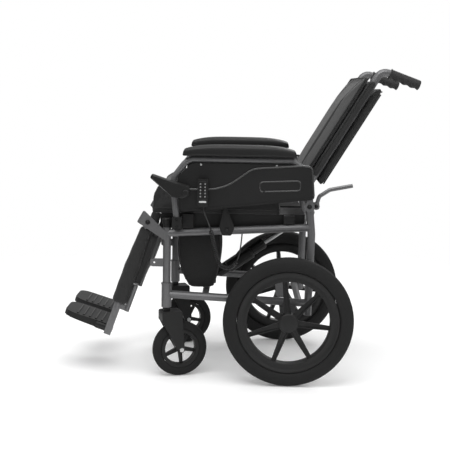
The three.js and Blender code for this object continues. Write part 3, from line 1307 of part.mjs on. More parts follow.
function keyPlaces() {
  const h = handset;
  const side = (column) => (column - (h.columns - 1) / 2) * h.columnStep;
  return Array.from({ length: h.rows * h.columns }, (_, i) => [
    handsetAt.y + side(i % h.columns), handsetAt.z - h.firstRow - Math.floor(i / h.columns) * h.rowStep,
  ]);
}
add(chair, 'handset', handsetBody(), black.color, black.finish);
keyPlaces().forEach(([y, z], i) => {
  const face = handsetAt.x + handset.thick;
  const from = face - handset.keyDeep + handset.keyTravel + seatGap;
  const key = rod('x', [from, y, z], face + handset.keyRise - from, handset.keyR, around.pin);
  add(chair, `handset_key_${String(i + 1).padStart(2, '0')}`, key, 0x8f9193, { roughness: 0.5 });
});

// Handset lead: straight out of the handset, curled between the two ends, one unbroken tube
function leadSpine() {
  const mouthZ = underPanZ(glandAt.y) - underGland.tall;
  const points = leadDrop.map(([inboard, aft, down]) => new THREE.Vector3(
    leadTop.x - inboard, leadTop.y + aft, leadTop.z - down,
  ));
  points.unshift(new THREE.Vector3(leadTop.x, leadTop.y, leadTop.z));
  points.push(
    new THREE.Vector3(glandAt.x, glandAt.y, mouthZ - lead.straight),
    new THREE.Vector3(glandAt.x, glandAt.y, mouthZ + underGland.holeDeep - seatGap),
  );
  return new THREE.CatmullRomCurve3(points, false, 'centripetal');
}

// A frame is carried along the spine so that the curls never twist back on themselves
function leadPoints() {
  const spine = leadSpine();
  const total = spine.getLength();
  const coilLong = lead.curls * lead.pitch;
  const from = lead.coilFrom;
  const count = lead.curls * lead.steps;
  const points = [];
  const straightSteps = lead.straightSteps;
  for (let i = 0; i < straightSteps; i += 1) points.push(spine.getPointAt(((from - lead.runIn)
    * i) / straightSteps / total));
  let across = null;
  const centre = new THREE.Vector3();
  const tangent = new THREE.Vector3();
  for (let i = 0; i <= count; i += 1) {
    const share = i / count;
    spine.getPointAt((from + coilLong * share) / total, centre);
    spine.getTangentAt((from + coilLong * share) / total, tangent);
    if (!across) across = new THREE.Vector3(1, 0, 0);
    across.addScaledVector(tangent, -across.dot(tangent)).normalize();
    const up = tangent.clone().cross(across);
    const turn = (i / lead.steps) * 2 * Math.PI;
    const ease = Math.min(1, i / lead.steps, (count - i) / lead.steps);
    points.push(centre.clone()
      .addScaledVector(across, ease * lead.coilR * Math.cos(turn))
      .addScaledVector(up, ease * lead.coilR * Math.sin(turn)));
  }
  const rest = total - from - coilLong;
  for (let i = 1; i <= straightSteps; i += 1) {
    points.push(spine.getPointAt(Math.min(1,
      (from + coilLong + lead.runIn + ((rest - lead.runIn) * (i - 1)) / (straightSteps - 1)) / total)));
  }
  return points;
}

// The least distance between stretches of the lead that are more than half a curl apart
function leastGap(points) {
  let least = Infinity;
  const apart = Math.round(lead.steps * 0.6);
  const fine = [];
  for (let i = 0; i + 1 < points.length; i += 1) {
    for (const share of [0, 0.25, 0.5, 0.75]) fine.push([i + share,
      points[i].clone().lerp(points[i + 1], share)]);
  }
  for (let i = 0; i < fine.length; i += 1) {
    for (let j = i + 1; j < fine.length; j += 1) {
      if (fine[j][0] - fine[i][0] < apart) continue;
      least = Math.min(least, fine[i][1].distanceTo(fine[j][1]));
    }
  }
  return least - 2 * lead.r;
}

const leadLine = leadPoints();
const leadLong = leadLine.slice(1).reduce((sum, p, i) => sum + p.distanceTo(leadLine[i]), 0);
const leadGap = leastGap(leadLine);
console.log(`handset lead: ${leadLong.toFixed(0)} mm long, least gap to itself ${leadGap.toFixed(2)} mm`);
add(chair, 'handset_lead', tube(leadLine, lead.r, lead.curlSides), black.color, black.finish);

export default chair;
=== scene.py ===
"""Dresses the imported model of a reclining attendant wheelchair: paint, plastics, tyres, cloth, lead and light.

Everything is in metres in the frame's own axes: +X is the occupant's left, -Y is forward and +Z is up.
"""

import json
import logging
import math
from collections.abc import Callable, Sequence
from dataclasses import dataclass, field
from enum import Enum

import bmesh
import bpy
import numpy as np
from mathutils import Matrix, Vector


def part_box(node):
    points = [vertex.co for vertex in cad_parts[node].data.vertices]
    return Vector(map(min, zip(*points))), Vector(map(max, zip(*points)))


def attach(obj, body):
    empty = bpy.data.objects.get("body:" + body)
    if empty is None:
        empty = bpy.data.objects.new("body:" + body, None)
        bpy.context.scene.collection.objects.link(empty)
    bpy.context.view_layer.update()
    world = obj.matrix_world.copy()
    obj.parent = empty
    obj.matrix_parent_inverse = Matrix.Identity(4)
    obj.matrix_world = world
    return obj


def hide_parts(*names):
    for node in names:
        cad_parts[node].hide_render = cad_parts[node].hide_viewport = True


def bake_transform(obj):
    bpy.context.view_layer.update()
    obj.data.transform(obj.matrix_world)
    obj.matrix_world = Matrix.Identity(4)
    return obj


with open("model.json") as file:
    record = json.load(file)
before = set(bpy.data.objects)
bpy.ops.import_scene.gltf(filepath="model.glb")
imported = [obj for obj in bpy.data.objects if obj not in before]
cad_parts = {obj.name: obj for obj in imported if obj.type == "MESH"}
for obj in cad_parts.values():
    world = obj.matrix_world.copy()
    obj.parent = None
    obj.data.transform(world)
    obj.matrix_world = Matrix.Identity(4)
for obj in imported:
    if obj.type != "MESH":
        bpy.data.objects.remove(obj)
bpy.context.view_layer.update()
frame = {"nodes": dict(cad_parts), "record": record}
log = logging.getLogger("wheelchair")

MM = 0.001
PHOTO_PIXELS = 450
SENSOR_MM = 36.0
# The width of a sewing thread, and how many points make the outline of a cushion
THREAD_MM = 0.9
OUTLINE_POINTS = 96

# Short names for the types in the hints
Piece = bpy.types.Object
Tree = bpy.types.NodeTree
Socket = bpy.types.NodeSocket
Rule = Callable[[float, float, float], Sequence]
Pair = tuple[float, float]
Triple = tuple[float, float, float]


# Colour and node helpers


def linear(hex_colour: str) -> tuple[float, float, float, float]:
    """Turns an sRGB hex colour into linear RGBA.

    Args:
        hex_colour: six hex digits, such as "5F6064".

    Returns:
        Linear red, green, blue and an alpha of one.
    """
    parts = [int(hex_colour[i:i + 2], 16) / 255 for i in (0, 2, 4)]
    curve = [p / 12.92 if p <= 0.04045 else ((p + 0.055) / 1.055) ** 2.4 for p in parts]
    return (*curve, 1.0)


def configured(thing: object, **settings) -> object:
    """Sets attributes of one of Blender's own objects.

    Args:
        thing: the modifier, node or data-block.
        **settings: its attributes.

    Returns:
        The same thing.
    """
    for key, value in settings.items():
        setattr(thing, key, value)
    return thing


def add_node(tree: Tree, kind: str, links: dict | None = None, **settings) -> bpy.types.Node:
    """Adds a shader node with its settings, input values and links.

    Args:
        tree: the node tree it goes into.
        kind: the node's type name.
        links: input name or index to a value or to another node's output socket.
        **settings: attributes of the node itself.

    Returns:
        The new node.
    """
    node = configured(tree.nodes.new(kind), **settings)
    for key, value in (links or {}).items():
        if isinstance(value, bpy.types.NodeSocket):
            tree.links.new(value, node.inputs[key])
        else:
            node.inputs[key].default_value = value
    return node


def scale_for(size_mm: float) -> float:
    """Gives the texture scale at which one feature of a pattern is size_mm across."""
    return 1000.0 / size_mm


def noise(tree: Tree, place: Socket, size_mm: float, detail: float) -> Socket:
    """Adds a noise with features about size_mm across and gives its value."""
    links = {"Vector": place, "Scale": scale_for(size_mm), "Detail": detail}
    return add_node(tree, "ShaderNodeTexNoise", links).outputs["Fac"]


def ranged(tree: Tree, value: Socket, given: tuple[float, float], wanted: tuple[float, float],
           **settings) -> Socket:
    """Maps a value from the range that is given to the one that is wanted."""
    links = {"Value": value, 1: given[0], 2: given[1], 3: wanted[0], 4: wanted[1]}
    return add_node(tree, "ShaderNodeMapRange", links, **settings).outputs[0]


def mixed(tree: Tree, share: Socket, first: object, second: object) -> Socket:
    """Mixes two colours, each a value or a socket, by a share."""
    return add_node(tree, "ShaderNodeMix", {0: share, 6: first, 7: second}, data_type="RGBA").outputs[2]


# Lines and meshes


def clamp(value: float) -> float:
    """Keeps a value between zero and one."""
    return max(0.0, min(1.0, value))


def span(low: float | Vector, high: float | Vector) -> tuple:
    """Gives the middle between two places and half the way between them."""
    return (low + high) / 2, (high - low) / 2


def turns(count: int) -> list[float]:
    """Gives the angles of count even steps round a circle."""
    return [2 * math.pi * k / count for k in range(count)]


def ridge(distance: float, width: float) -> float:
    """Gives a smooth bump of height one that fades at width."""
    return (1 - min(1.0, abs(distance) / width) ** 2) ** 2


def heading(line: Sequence[Vector], number: int) -> Vector:
    """Gives the direction of a line at one of its points."""
    return (line[min(number + 1, len(line) - 1)] - line[max(number - 1, 0)]).normalized()


def distances(line: Sequence[Vector]) -> np.ndarray:
    """Gives how far along a line each of its points lies."""
    return np.concatenate([[0.0], np.cumsum([(b - a).length for a, b in zip(line, line[1:])])])


def point_along(line: Sequence[Vector], ends: np.ndarray, at: float) -> Vector:
    """Finds the point at a distance along a line.

    Args:
        line: the line's points.
        ends: how far along each of them lies.
        at: the distance wanted.

    Returns:
        The point, which is an end of the line where the distance is off it.
    """
    i = min(int(np.searchsorted(ends, at, side="right")) - 1, len(line) - 2)
    share = (at - ends[i]) / max(ends[i + 1] - ends[i], 1e-12)
    return line[i].lerp(line[i + 1], clamp(share))


def evenly(line: Sequence[Vector], gap: float) -> list[Vector]:
    """Places points along a line at an even distance.

    Args:
        line: the line's own points.
        gap: about how far apart the new points stand, in metres.

    Returns:
        The new points, with both ends kept.
    """
    ends = distances(line)
    count = max(1, round(ends[-1] / gap))
    return [point_along(line, ends, ends[-1] * k / count) for k in range(count + 1)]


def rounded_loop(corners: Sequence, radius: float, steps: int = 5) -> list[Vector]:
    """Rounds the corners of a closed line.

    Args:
        corners: the points where straight runs meet.
        radius: how far from each corner the arc starts.
        steps: pieces in each arc.

    Returns:
        The points of the rounded line, with the first one again at its end.
    """
    out = []
    for i, corner in enumerate(corners):
        before, after = corners[i - 1] - corner, corners[(i + 1) % len(corners)] - corner
        reach = min(radius, before.length / 2, after.length / 2)
        a, b = corner + before.normalized() * reach, corner + after.normalized() * reach
        out += [a * (1 - t) ** 2 + corner * 2 * t * (1 - t) + b * t * t
                for t in (k / steps for k in range(steps + 1))]
    return out + out[:1]


def placed(name: str, data: bpy.types.ID) -> Piece:
    """Puts data into the scene.

    Args:
        name: the object's name.
        data: its mesh, lamp or camera.

    Returns:
        The new object.
    """
    piece = bpy.data.objects.new(name, data)
    bpy.context.collection.objects.link(piece)
    return piece


def shade(mesh: bpy.types.Mesh, smooth: Sequence[bool] | bool = True) -> None:
    """Marks the faces of a mesh as smooth or flat.

    Args:
        mesh: the mesh.
        smooth: True where the surface is round, for all faces or for each.
    """
    flags = [smooth] * len(mesh.polygons) if isinstance(smooth, bool) else smooth
    mesh.polygons.foreach_set("use_smooth", flags)
    mesh.update()


def mesh_piece(name: str, points: Sequence, faces: Sequence, smooth: bool = True) -> Piece:
    """Makes an object from points and faces.

    Args:
        name: the piece's name.
        points: corner points in metres.
        faces: corner indices of each face.
        smooth: True where the surface is round.

    Returns:
        The new object, linked to the scene.
    """
    mesh = bpy.data.meshes.new(name)
    mesh.from_pydata([tuple(p) for p in points], [], [tuple(f) for f in faces])
    shade(mesh, smooth)
    return placed(name, mesh)


def outward(piece: Piece) -> Piece:
    """Welds doubled points and turns all faces outward."""
    work = bmesh.new()
    work.from_mesh(piece.data)
    bmesh.ops.remove_doubles(work, verts=work.verts, dist=1e-6)
    bmesh.ops.recalc_face_normals(work, faces=work.faces)
    work.to_mesh(piece.data)
    work.free()
    return piece


def loft(name: str, rings: Sequence[Sequence], closed: bool = True, caps: bool = True) -> Piece:
    """Skins a stack of rings of equal count.

    Args:
        name: the piece's name.
        rings: rings of points in metres.
        closed: True where each ring joins its own start.
        caps: True to close both ends.

    Returns:
        The new object.
    """
    count = len(rings[0])
    faces = []
    for start in range(0, (len(rings) - 1) * count, count):
        for i in range(count if closed else count - 1):
            j = (i + 1) % count
            faces.append((start + i, start + j, start + count + j, start + count + i))
    if caps:
        faces.append(tuple(range(count))[::-1])
        faces.append(tuple(range((len(rings) - 1) * count, len(rings) * count)))
    return outward(mesh_piece(name, [p for ring in rings for p in ring], faces))


def sweep(name: str, path: Sequence, radius: float, sides: int = 8) -> Piece:
    """Runs a round section along a path.

    Args:
        name: the piece's name.
        path: points along the middle of the bar.
        radius: half of its width.
        sides: corners round the section.

    Returns:
        The new object, closed at both ends.
    """
    line = [Vector(p) for p in path]
    across = heading(line, 0).orthogonal()
    rings = []
    for i, point in enumerate(line):
        ahead = heading(line, i)
        across = (across - ahead * across.dot(ahead)).normalized()
        up = ahead.cross(across)
        rings.append([point + (across * math.cos(t) + up * math.sin(t)) * radius for t in turns(sides)])
    return loft(name, rings)


def turned(name: str, profile: Sequence, centre: Sequence, steps: int, out: int = 1,
           ring: bool = False) -> Piece:
    """Turns a profile about a line along X.

    Args:
        name: the piece's name.
        profile: (radius, distance outward) pairs in millimetres.
        centre: the point on the line that distances are counted from, in metres.
        steps: facets round the piece.
        out: the sign of X that is outward.
        ring: True where the profile closes on itself.

    Returns:
        The new object.
    """
    x, y, z = centre
    rings = [[(x + out * a * MM, y + r * MM * math.cos(t), z + r * MM * math.sin(t)) for r, a in profile]
             for t in turns(steps)]
    return loft(name, rings + rings[:1], closed=ring, caps=False)


def merged(name: str, pieces: Sequence[Piece]) -> Piece:
    """Joins several pieces of one finish into one object.

    Args:
        name: the name of the result.
        pieces: the objects to take in, which go away.

    Returns:
        The joined object.
    """
    points, faces, flags = [], [], []
    for piece in pieces:
        start = len(points)
        points.extend(v.co for v in piece.data.vertices)
        faces.extend([start + i for i in f.vertices] for f in piece.data.polygons)
        flags.extend(f.use_smooth for f in piece.data.polygons)
    whole = mesh_piece(name, points, faces)
    shade(whole.data, flags)
    for piece in pieces:
        bpy.data.objects.remove(piece)
    return whole


# Finishes, each named for what the real surface is


@dataclass(frozen=True)
class Finish:
    """A surface: its colour, its gloss and the fine pattern in it."""

    name: str
    colour: str
    roughness: float
    metallic: float = 0.0
    ior: float = 1.5
    coat: float = 0.0
    sheen: float = 0.0
    tint: float = 0.12
    tint_mm: float = 60.0
    bump_mm: float = 1.0
    bump: float = 0.1
    wear: float = 0.05

    def shaded(self, share: float) -> list[float]:
        """Gives the colour made lighter by a share, or darker where it is negative."""
        return [min(1.0, c * (1 + share)) for c in linear(self.colour)[:3]] + [1.0]

    def pattern(self, tree: Tree, place: Socket) -> Socket:
        """Gives the height pattern of the surface; a plain finish has a fine even grain."""
        return noise(tree, place, self.bump_mm, 3.0)

    def colour_of(self, tree: Tree, place: Socket, height: Socket) -> Socket:
        """Varies the colour in broad soft patches, and darkens the valleys of the pattern as painted shade.

        Args:
            tree: the material's nodes.
            place: where on the piece a point lies.
            height: the pattern's height there.

        Returns:
            The colour.
        """
        patches = noise(tree, place, self.tint_mm, 4.0)
        broad = mixed(tree, patches, self.shaded(-self.tint), self.shaded(self.tint))
        # Painted shade: the low parts of the height pattern blend towards a darker copy of the colour
        depth = ranged(tree, height, (0.0, 0.5), (0.5, 0.0))
        return mixed(tree, depth, broad, self.shaded(-2 * self.tint))

    def build(self) -> bpy.types.Material:
        """Makes the material once.

        Returns:
            The material, the same one each time.
        """
        known = bpy.data.materials.get(self.name)
        if known:
            return known
        material = bpy.data.materials.new(self.name)
        material.use_nodes = True
        tree = material.node_tree
        place = add_node(tree, "ShaderNodeTexCoord").outputs["Object"]
        height = self.pattern(tree, place)
        smear = noise(tree, place, 2 * self.tint_mm, 5.0)
        rough = ranged(tree, smear, (0.3, 0.7), (self.roughness - self.wear, self.roughness + self.wear))
        relief = add_node(tree, "ShaderNodeBump", {"Height": height, "Strength": self.bump, "Distance": MM})
        inputs = tree.nodes["Principled BSDF"].inputs
        tree.links.new(self.colour_of(tree, place, height), inputs["Base Color"])
        tree.links.new(rough, inputs["Roughness"])
        tree.links.new(relief.outputs["Normal"], inputs["Normal"])
        inputs["Metallic"].default_value = self.metallic
        if self.metallic < 1.0:
            inputs["IOR"].default_value = self.ior
        inputs["Coat Weight"].default_value = self.coat
        inputs["Sheen Weight"].default_value = self.sheen
        return material


@dataclass(frozen=True)
class WovenCloth(Finish):
    """A plain weave, drawn coarser than its threads so that it shows."""

    thread_mm: float = 2.4

    def pattern(self, tree: Tree, place: Socket) -> Socket:
        """Crosses two sets of threads and roughens them."""
        heights = []
        for rotation in ((0, 45, 45), (90, 45, -45)):
            rotated = add_node(tree, "ShaderNodeMapping", {
                "Vector": place, "Rotation": [math.radians(d) for d in rotation],
            })
            threads = add_node(tree, "ShaderNodeTexWave", {
                "Vector": rotated.outputs[0], "Scale": scale_for(self.thread_mm) / (2 * math.pi),
                "Distortion": 0.6, "Detail": 1.0, "Detail Scale": 2.0,
            })
            heights.append(threads.outputs["Fac"])
        return add_node(tree, "ShaderNodeMath", dict(enumerate(heights)), operation="MAXIMUM").outputs[0]


@dataclass(frozen=True)
class GrainedSkin(Finish):
    """Vinyl or rubber with an embossed pebble grain."""

    pebble_mm: float = 2.2

    def pattern(self, tree: Tree, place: Socket) -> Socket:
        """Rounds each pebble off towards the creases between them."""
        cells = add_node(tree, "ShaderNodeTexVoronoi", {"Vector": place, "Scale": scale_for(self.pebble_mm)},
                         feature="DISTANCE_TO_EDGE")
        return ranged(tree, cells.outputs["Distance"], (0.0, 0.3), (0.2, 1.0))


@dataclass(frozen=True)
class FlakePaint(Finish):
    """Powder coat with metal flake over a slight orange peel."""

    flake_mm: float = 1.2

    def colour_of(self, tree: Tree, place: Socket, height: Socket) -> Socket:
        """Scatters lighter flakes through the base colour, whatever the height."""
        flakes = add_node(tree, "ShaderNodeTexVoronoi", {"Vector": place, "Scale": scale_for(self.flake_mm)})
        share = add_node(tree, "ShaderNodeSeparateColor", {"Color": flakes.outputs["Color"]}).outputs[0]
        return mixed(tree, share, self.shaded(-self.tint), self.shaded(self.tint))


# Steel tube with a grey metallic powder coat: a satin sheen and a fine sparkle
PAINT = FlakePaint("powder_coated_steel", "6A6A6B", 0.38, metallic=0.45, coat=0.15, tint=0.16, bump_mm=3.0,
                   bump=0.05)
# Glass-filled nylon from a textured mould: nearly matte with a soft highlight on its edges
NYLON = Finish("moulded_nylon", "131313", 0.5, ior=1.42, bump_mm=1.1, bump=0.14, tint=0.1)
# ABS shell, finer in the mould than the nylon: a satin black
ABS = Finish("moulded_abs", "181818", 0.42, ior=1.42, bump_mm=0.9, bump=0.08, tint=0.06)
# The same ABS on edges that sleeves rub smooth: glossier, and lighter in colour as a painted highlight
EDGE = Finish("rubbed_abs_painted_highlight", "323232", 0.24, coat=0.6, bump_mm=0.9, bump=0.04, tint=0.06)
# Nylon on the crests of the treads, pale in colour as a painted highlight
TREAD = Finish("nylon_crest_painted_highlight", "5A5A5A", 0.6, bump_mm=0.8, bump=0.1)
# Polyurethane tyre: dry, dark and neutral
TYRE = Finish("solid_polyurethane_tyre", "1E1E1E", 0.8, ior=1.35, bump_mm=1.6, bump=0.2, tint=0.16,
              tint_mm=45.0)
# Woven polyester over foam: matte with a faint pale sheen at grazing angles
CLOTH = WovenCloth("woven_polyester", "282828", 0.85, ior=1.4, sheen=0.2, bump=0.3, tint_mm=90.0)
# Coarser nylon bag cloth
BAG_CLOTH = WovenCloth("bag_nylon", "232323", 0.78, ior=1.35, sheen=0.1, bump=0.35, thread_mm=3.2)
# Vinyl skin over foam on the armrests: pebbled, with a broad soft gloss
VINYL = GrainedSkin("pebbled_vinyl", "101010", 0.5, ior=1.42, bump=0.22, coat=0.08, tint=0.08)
# Soft PVC of the handgrips
GRIP = GrainedSkin("grip_pvc", "2C2C2C", 0.6, ior=1.4, bump=0.25, pebble_mm=1.8, tint=0.08)
# Zinc-plated steel: bright, slightly blue
ZINC = Finish("zinc_plated_steel", "BABBBB", 0.28, metallic=1.0, bump_mm=2.0, bump=0.04, tint=0.05)
# Black-oxide screws
BLACK_OXIDE = Finish("black_oxide_steel", "1F1F1F", 0.34, metallic=0.7, bump_mm=0.8, bump=0.06)
# Smooth PVC sheath of the lead
SHEATH = Finish("lead_sheath_pvc", "191919", 0.3, coat=0.3, bump_mm=1.5, bump=0.06)
# Polyester sewing thread, a shade lighter than the cloth
THREAD = Finish("sewing_thread", "404040", 0.8, sheen=0.1, bump_mm=0.6, bump=0.2)
# Bound edge tape
TAPE = WovenCloth("edge_tape", "242424", 0.8, sheen=0.1, bump=0.3, thread_mm=1.6)
# Silicone keys
KEY = Finish("silicone_key", "8F8F8F", 0.5, bump_mm=0.8, bump=0.05)
# Frosted acrylic window
FROST = Finish("frosted_acrylic", "CDCECE", 0.3, coat=0.4, bump_mm=1.0, bump=0.03, tint=0.04)

# The finish and the width in mm of the rounded edges of the nodes that keep their CAD shape, by slot
KEPT_SLOTS = {
    "frame_paint": (PAINT, 0.5), "black_plastic": (NYLON, 1.4), "bright_steel": (ZINC, 0.5),
    "key_plastic": (KEY, 0.4),
}
ABS_NODES = ("side_panel", "handset", "control_pod")


def dress(piece: Piece, finish: Finish, body: str, node: str = "") -> Piece:
    """Gives a piece its finish and says what it is.

    Args:
        piece: the object.
        finish: its surface.
        body: the body that carries it.
        node: the CAD node that it stands for, if any.

    Returns:
        The same object.
    """
    piece.data.materials.clear()
    piece.data.materials.append(finish.build())
    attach(piece, body)
    if node:
        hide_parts(node)
    log.info("%s rides on %s", piece.name, body)
    return piece


def edging(name: str, radius_mm: float, lines: Sequence, finish: Finish, body: str,
           sides: int = 8) -> Piece:
    """Runs a thin round bead along each of a few lines, all in one piece.

    Args:
        name: the piece's name.
        radius_mm: half of the bead's width.
        lines: a row of points for each bead.
        finish: its surface.
        body: the body that carries it.
        sides: corners round the bead.

    Returns:
        The dressed piece.
    """
    beads = [sweep(f"{name}_{k}", line, radius_mm * MM, sides) for k, line in enumerate(lines)]
    return dress(merged(name, beads), finish, body)


# Places shared by the sub-assemblies


AXLE = span(*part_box("rear_tyre_left"))[0]


def chair(x: float, y: float, z: float) -> Vector:
    """Turns millimetres from the rear axle's floor point into the frame's metres."""
    return Vector((x * MM, y * MM + AXLE.y, z * MM))


# The pivots of the backrest and of the legrests on the side frames, as y and z in the chair's millimetres
BACK_PIVOT = (50, 615)
KNEE_PIVOT = (-444, 497)


class Side(Enum):
    """The two sides of the chair, with the sign of X on each."""

    LEFT = 1
    RIGHT = -1

    def __str__(self) -> str:
        """Gives the word used in node and body names."""
        return self.name.lower()


@dataclass
class KeptNodes:
    """The CAD nodes that stay in view: bevelled edges, smooth curves and a real finish."""

    record: dict
    crease: float = math.radians(38)

    def build(self) -> None:
        """Dresses every kept node after its slot."""
        slots = {row["node"]: row["material_slot"] for row in self.record["subparts"]}
        for name, node in frame["nodes"].items():
            slot = slots[name]
            if slot not in KEPT_SLOTS:
                continue
            finish, round_mm = KEPT_SLOTS[slot]
            if name.startswith(ABS_NODES) and finish is not KEY:
                finish = ABS
            self.smooth(node)
            self.soften(node, round_mm)
            node.data.materials.clear()
            node.data.materials.append(finish.build())
            log.info("%s keeps its CAD shape", name)

    def smooth(self, node: Piece) -> None:
        """Marks only the real corners of a node as sharp."""
        work = bmesh.new()
        work.from_mesh(node.data)
        sharp = [e.calc_face_angle(math.pi) > self.crease for e in work.edges]
        work.free()
        node.data.edges.foreach_set("use_edge_sharp", sharp)
        shade(node.data)

    def soften(self, node: Piece, width_mm: float) -> None:
        """Rounds a node's corners a little without moving its own points."""
        configured(node.modifiers.new("edge_round", "BEVEL"), width=width_mm * MM, segments=2,
                   limit_method="ANGLE", angle_limit=self.crease, use_clamp_overlap=True)
        configured(node.modifiers.new("flat_faces", "WEIGHTED_NORMAL"), keep_sharp=True)


@dataclass
class Tyre:
    """One solid tyre: a round crown with grooves and blocks along both shoulders."""

    node: str
    body: str
    width: float
    seam_radius: float
    blocks: int
    groove: float = 1.3
    # Shares: the beads of the half width, the CAD crown's flat of the width, the shoulders' foot of the height
    bead: float = 0.78
    flat: float = 0.45
    root: float = 0.1
    steps: int = 22

    def build(self) -> None:
        """Turns the tyre about its own axle, whose slant comes from the node's points."""
        points = np.array([v.co for v in frame["nodes"][self.node].data.vertices])
        centre = (points.max(0) + points.min(0)) / 2
        axis = Vector(np.linalg.eigh(np.cov((points - centre).T))[1][:, 0])
        turn = Vector((1, 0, 0)).rotation_difference(axis if axis.x >= 0 else -axis).to_matrix()
        reach = float(np.linalg.norm(points - centre, axis=1).max())
        radius = math.sqrt(reach ** 2 - (self.width * self.flat * MM / 2) ** 2) / MM
        rings = [[Vector(centre) + turn @ Vector((x, r * math.cos(t), r * math.sin(t))) * MM
                  for r, x in self.section(radius, k)] for k, t in enumerate(turns(self.blocks * 4))]
        tyre = loft(f"{self.node}_treaded", rings + rings[:1], caps=False)
        dress(tyre, TYRE, self.body, self.node)

    def section(self, radius: float, step: int) -> list[Pair]:
        """Gives one section of the tyre as (radius, across) in millimetres.

        Args:
            radius: the tyre's outer radius.
            step: which section it is; two in four stand on a shoulder block.

        Returns:
            The section's points, from bead to bead over the crown.
        """
        half = self.width / 2
        root = self.seam_radius + (radius - self.seam_radius) * self.root
        ring = [(self.seam_radius, -half * self.bead)]
        for i in range(self.steps + 1):
            t = (2 * i / self.steps - 1) * math.pi / 2
            share = abs(math.sin(t)) ** 0.85
            cuts = (0.3 < share < 0.42) + (0.62 < share < 0.9 and step % 4 >= 2)
            r = root + (radius - root) * abs(math.cos(t)) ** 0.55
            ring.append((r - cuts * self.groove, half * math.copysign(share, t)))
        return ring + [(self.seam_radius, half * self.bead)]


@dataclass
class RearWheel:
    """A moulded rear wheel: a stepped rim, seven channelled spokes and a domed hub cap."""

    side: Side
    plane: float = 285.0
    seam: float = 159.6
    rim_in: float = 129.0
    rim_half: float = 19.0
    hub: float = 27.0
    hub_half: float = 21.0
    cap: float = 31.0
    spokes: int = 7
    first: float = math.radians(96)
    wide: Pair = (11.5, 7.2)
    deep: Pair = (12.0, 7.5)
    ridge: float = 3.2
    step: float = 0.8
    groove: float = 6.0

    def build(self) -> None:
        """Makes the wheel as one object in place of the CAD wheel."""
        seam, inner, half = self.seam, self.rim_in, self.rim_half
        hub, cap, face = self.hub, self.cap, self.hub_half
        centre = (self.side.value * self.plane * MM, AXLE.y, AXLE.z)
        ring = turned("rim", [
            (seam, -half), (seam, half - 2), (seam - 2, half), (seam - 7, half), (seam - 9, half - 2.5),
            (inner + 8, half - 3.5), (inner + 5, half - 1.5), (inner + 1.5, half - 2), (inner, half - 4),
            (inner, 4 - half), (inner + 4, -half),
        ], centre, 72, self.side.value, ring=True)
        boss = turned("hub", [
            (9, -face), (hub - 2, -face), (hub, 2 - face), (hub, face - 5), (cap - 2, face - 4),
            (cap, face - 2), (cap - 1, face + 1), (cap - 5, face + 2.6), (cap - 12, face + 3.3),
            (0, face + 3.5),
        ], centre, 72, self.side.value)
        arms = [self.spoke(k, self.first + turn) for k, turn in enumerate(turns(self.spokes))]
        wheel = merged(f"rear_wheel_moulded_{self.side}", [ring, boss, *arms])
        dress(wheel, NYLON, f"wheel_{self.side}", f"rear_wheel_{self.side}")

    def spoke(self, number: int, turn: float) -> Piece:
        """Lofts one spoke: a channel whose two ridges run together towards the rim.

        Args:
            number: which spoke it is.
            turn: the angle that it stands at.

        Returns:
            The spoke, with flat faces.
        """
        out = Vector((self.side.value, 0, 0))
        along = Vector((0, math.cos(turn), math.sin(turn)))
        across = out.cross(along)
        rings = []
        for share in (0.0, 0.08, 0.5, 0.92, 1.0):
            wide, deep = (a + (b - a) * share for a, b in (self.wide, self.deep))
            inner = wide - self.ridge
            floor = deep - self.groove * math.sin(math.pi * share) ** 0.5
            section = [(-deep, -wide * 0.6), (deep, -wide), (deep, -inner), (floor, self.step - inner),
                       (floor, inner - self.step), (deep, inner), (deep, wide), (-deep, wide * 0.6)]
            centre = Vector((out.x * self.plane, AXLE.y / MM, AXLE.z / MM))
            centre += along * (self.hub - 3 + share * (self.rim_in + 6 - self.hub))
            rings.append([(centre + out * d + across * w) * MM for d, w in section])
        arm = loft(f"spoke_{number}", rings)
        shade(arm.data, False)
        return arm


@dataclass(frozen=True)
class Head:
    """A screw's head or a nut: rows of radius and height shares from its seat up, True where hexagonal."""

    rows: tuple[tuple[float, float, bool], ...]
    sides: int

    def build(self, name: str, place: Vector, facing: Vector, radius_mm: float, tall_mm: float) -> Piece:
        """Makes the head.

        Args:
            name: the piece's name.
            place: the middle of its seat.
            facing: the way that it faces.
            radius_mm: half of its width, over the flats where it is hexagonal.
            tall_mm: its height.

        Returns:
            The new object.
        """
        turn = Vector((0, 0, 1)).rotation_difference(facing).to_matrix()
        rings = []
        for share, height, hexagonal in self.rows:
            ring = []
            for a in turns(self.sides):
                r = share * radius_mm / (math.cos(a % (math.pi / 3) - math.pi / 6) if hexagonal else 1.0)
                ring.append(place + turn @ Vector((r * math.cos(a), r * math.sin(a), height * tall_mm)) * MM)
            rings.append(ring)
        return loft(name, rings)


SOCKET_SCREW = Head((
    (1.0, -0.6, False), (1.0, 0.35, False), (0.82, 0.85, False), (0.55, 1.0, False), (0.43301, 1.0, True),
    (0.39837, 0.45, True), (0.0, 0.4, False)), 18)
HEX_NUT = Head((
    (1.12, -0.1, False), (1.12, 0.12, False), (1.0, 0.14, True), (1.0, 0.8, True), (0.82, 0.92, False),
    (0.6, 0.96, False), (0.5, 1.25, False), (0.0, 1.35, False)), 24)


# Soft goods


def applied(piece: Piece) -> Piece:
    """Bakes a piece's modifiers into its mesh."""
    graph = bpy.context.evaluated_depsgraph_get()
    mesh = bpy.data.meshes.new_from_object(piece.evaluated_get(graph))
    piece.modifiers.clear()
    old, piece.data = piece.data, mesh
    bpy.data.meshes.remove(old)
    shade(mesh)
    return piece


def refined(piece: Piece) -> Piece:
    """Subdivides a finished soft piece once for a smooth skin."""
    configured(piece.modifiers.new("skin", "SUBSURF"), levels=1, render_levels=1)
    return applied(piece)


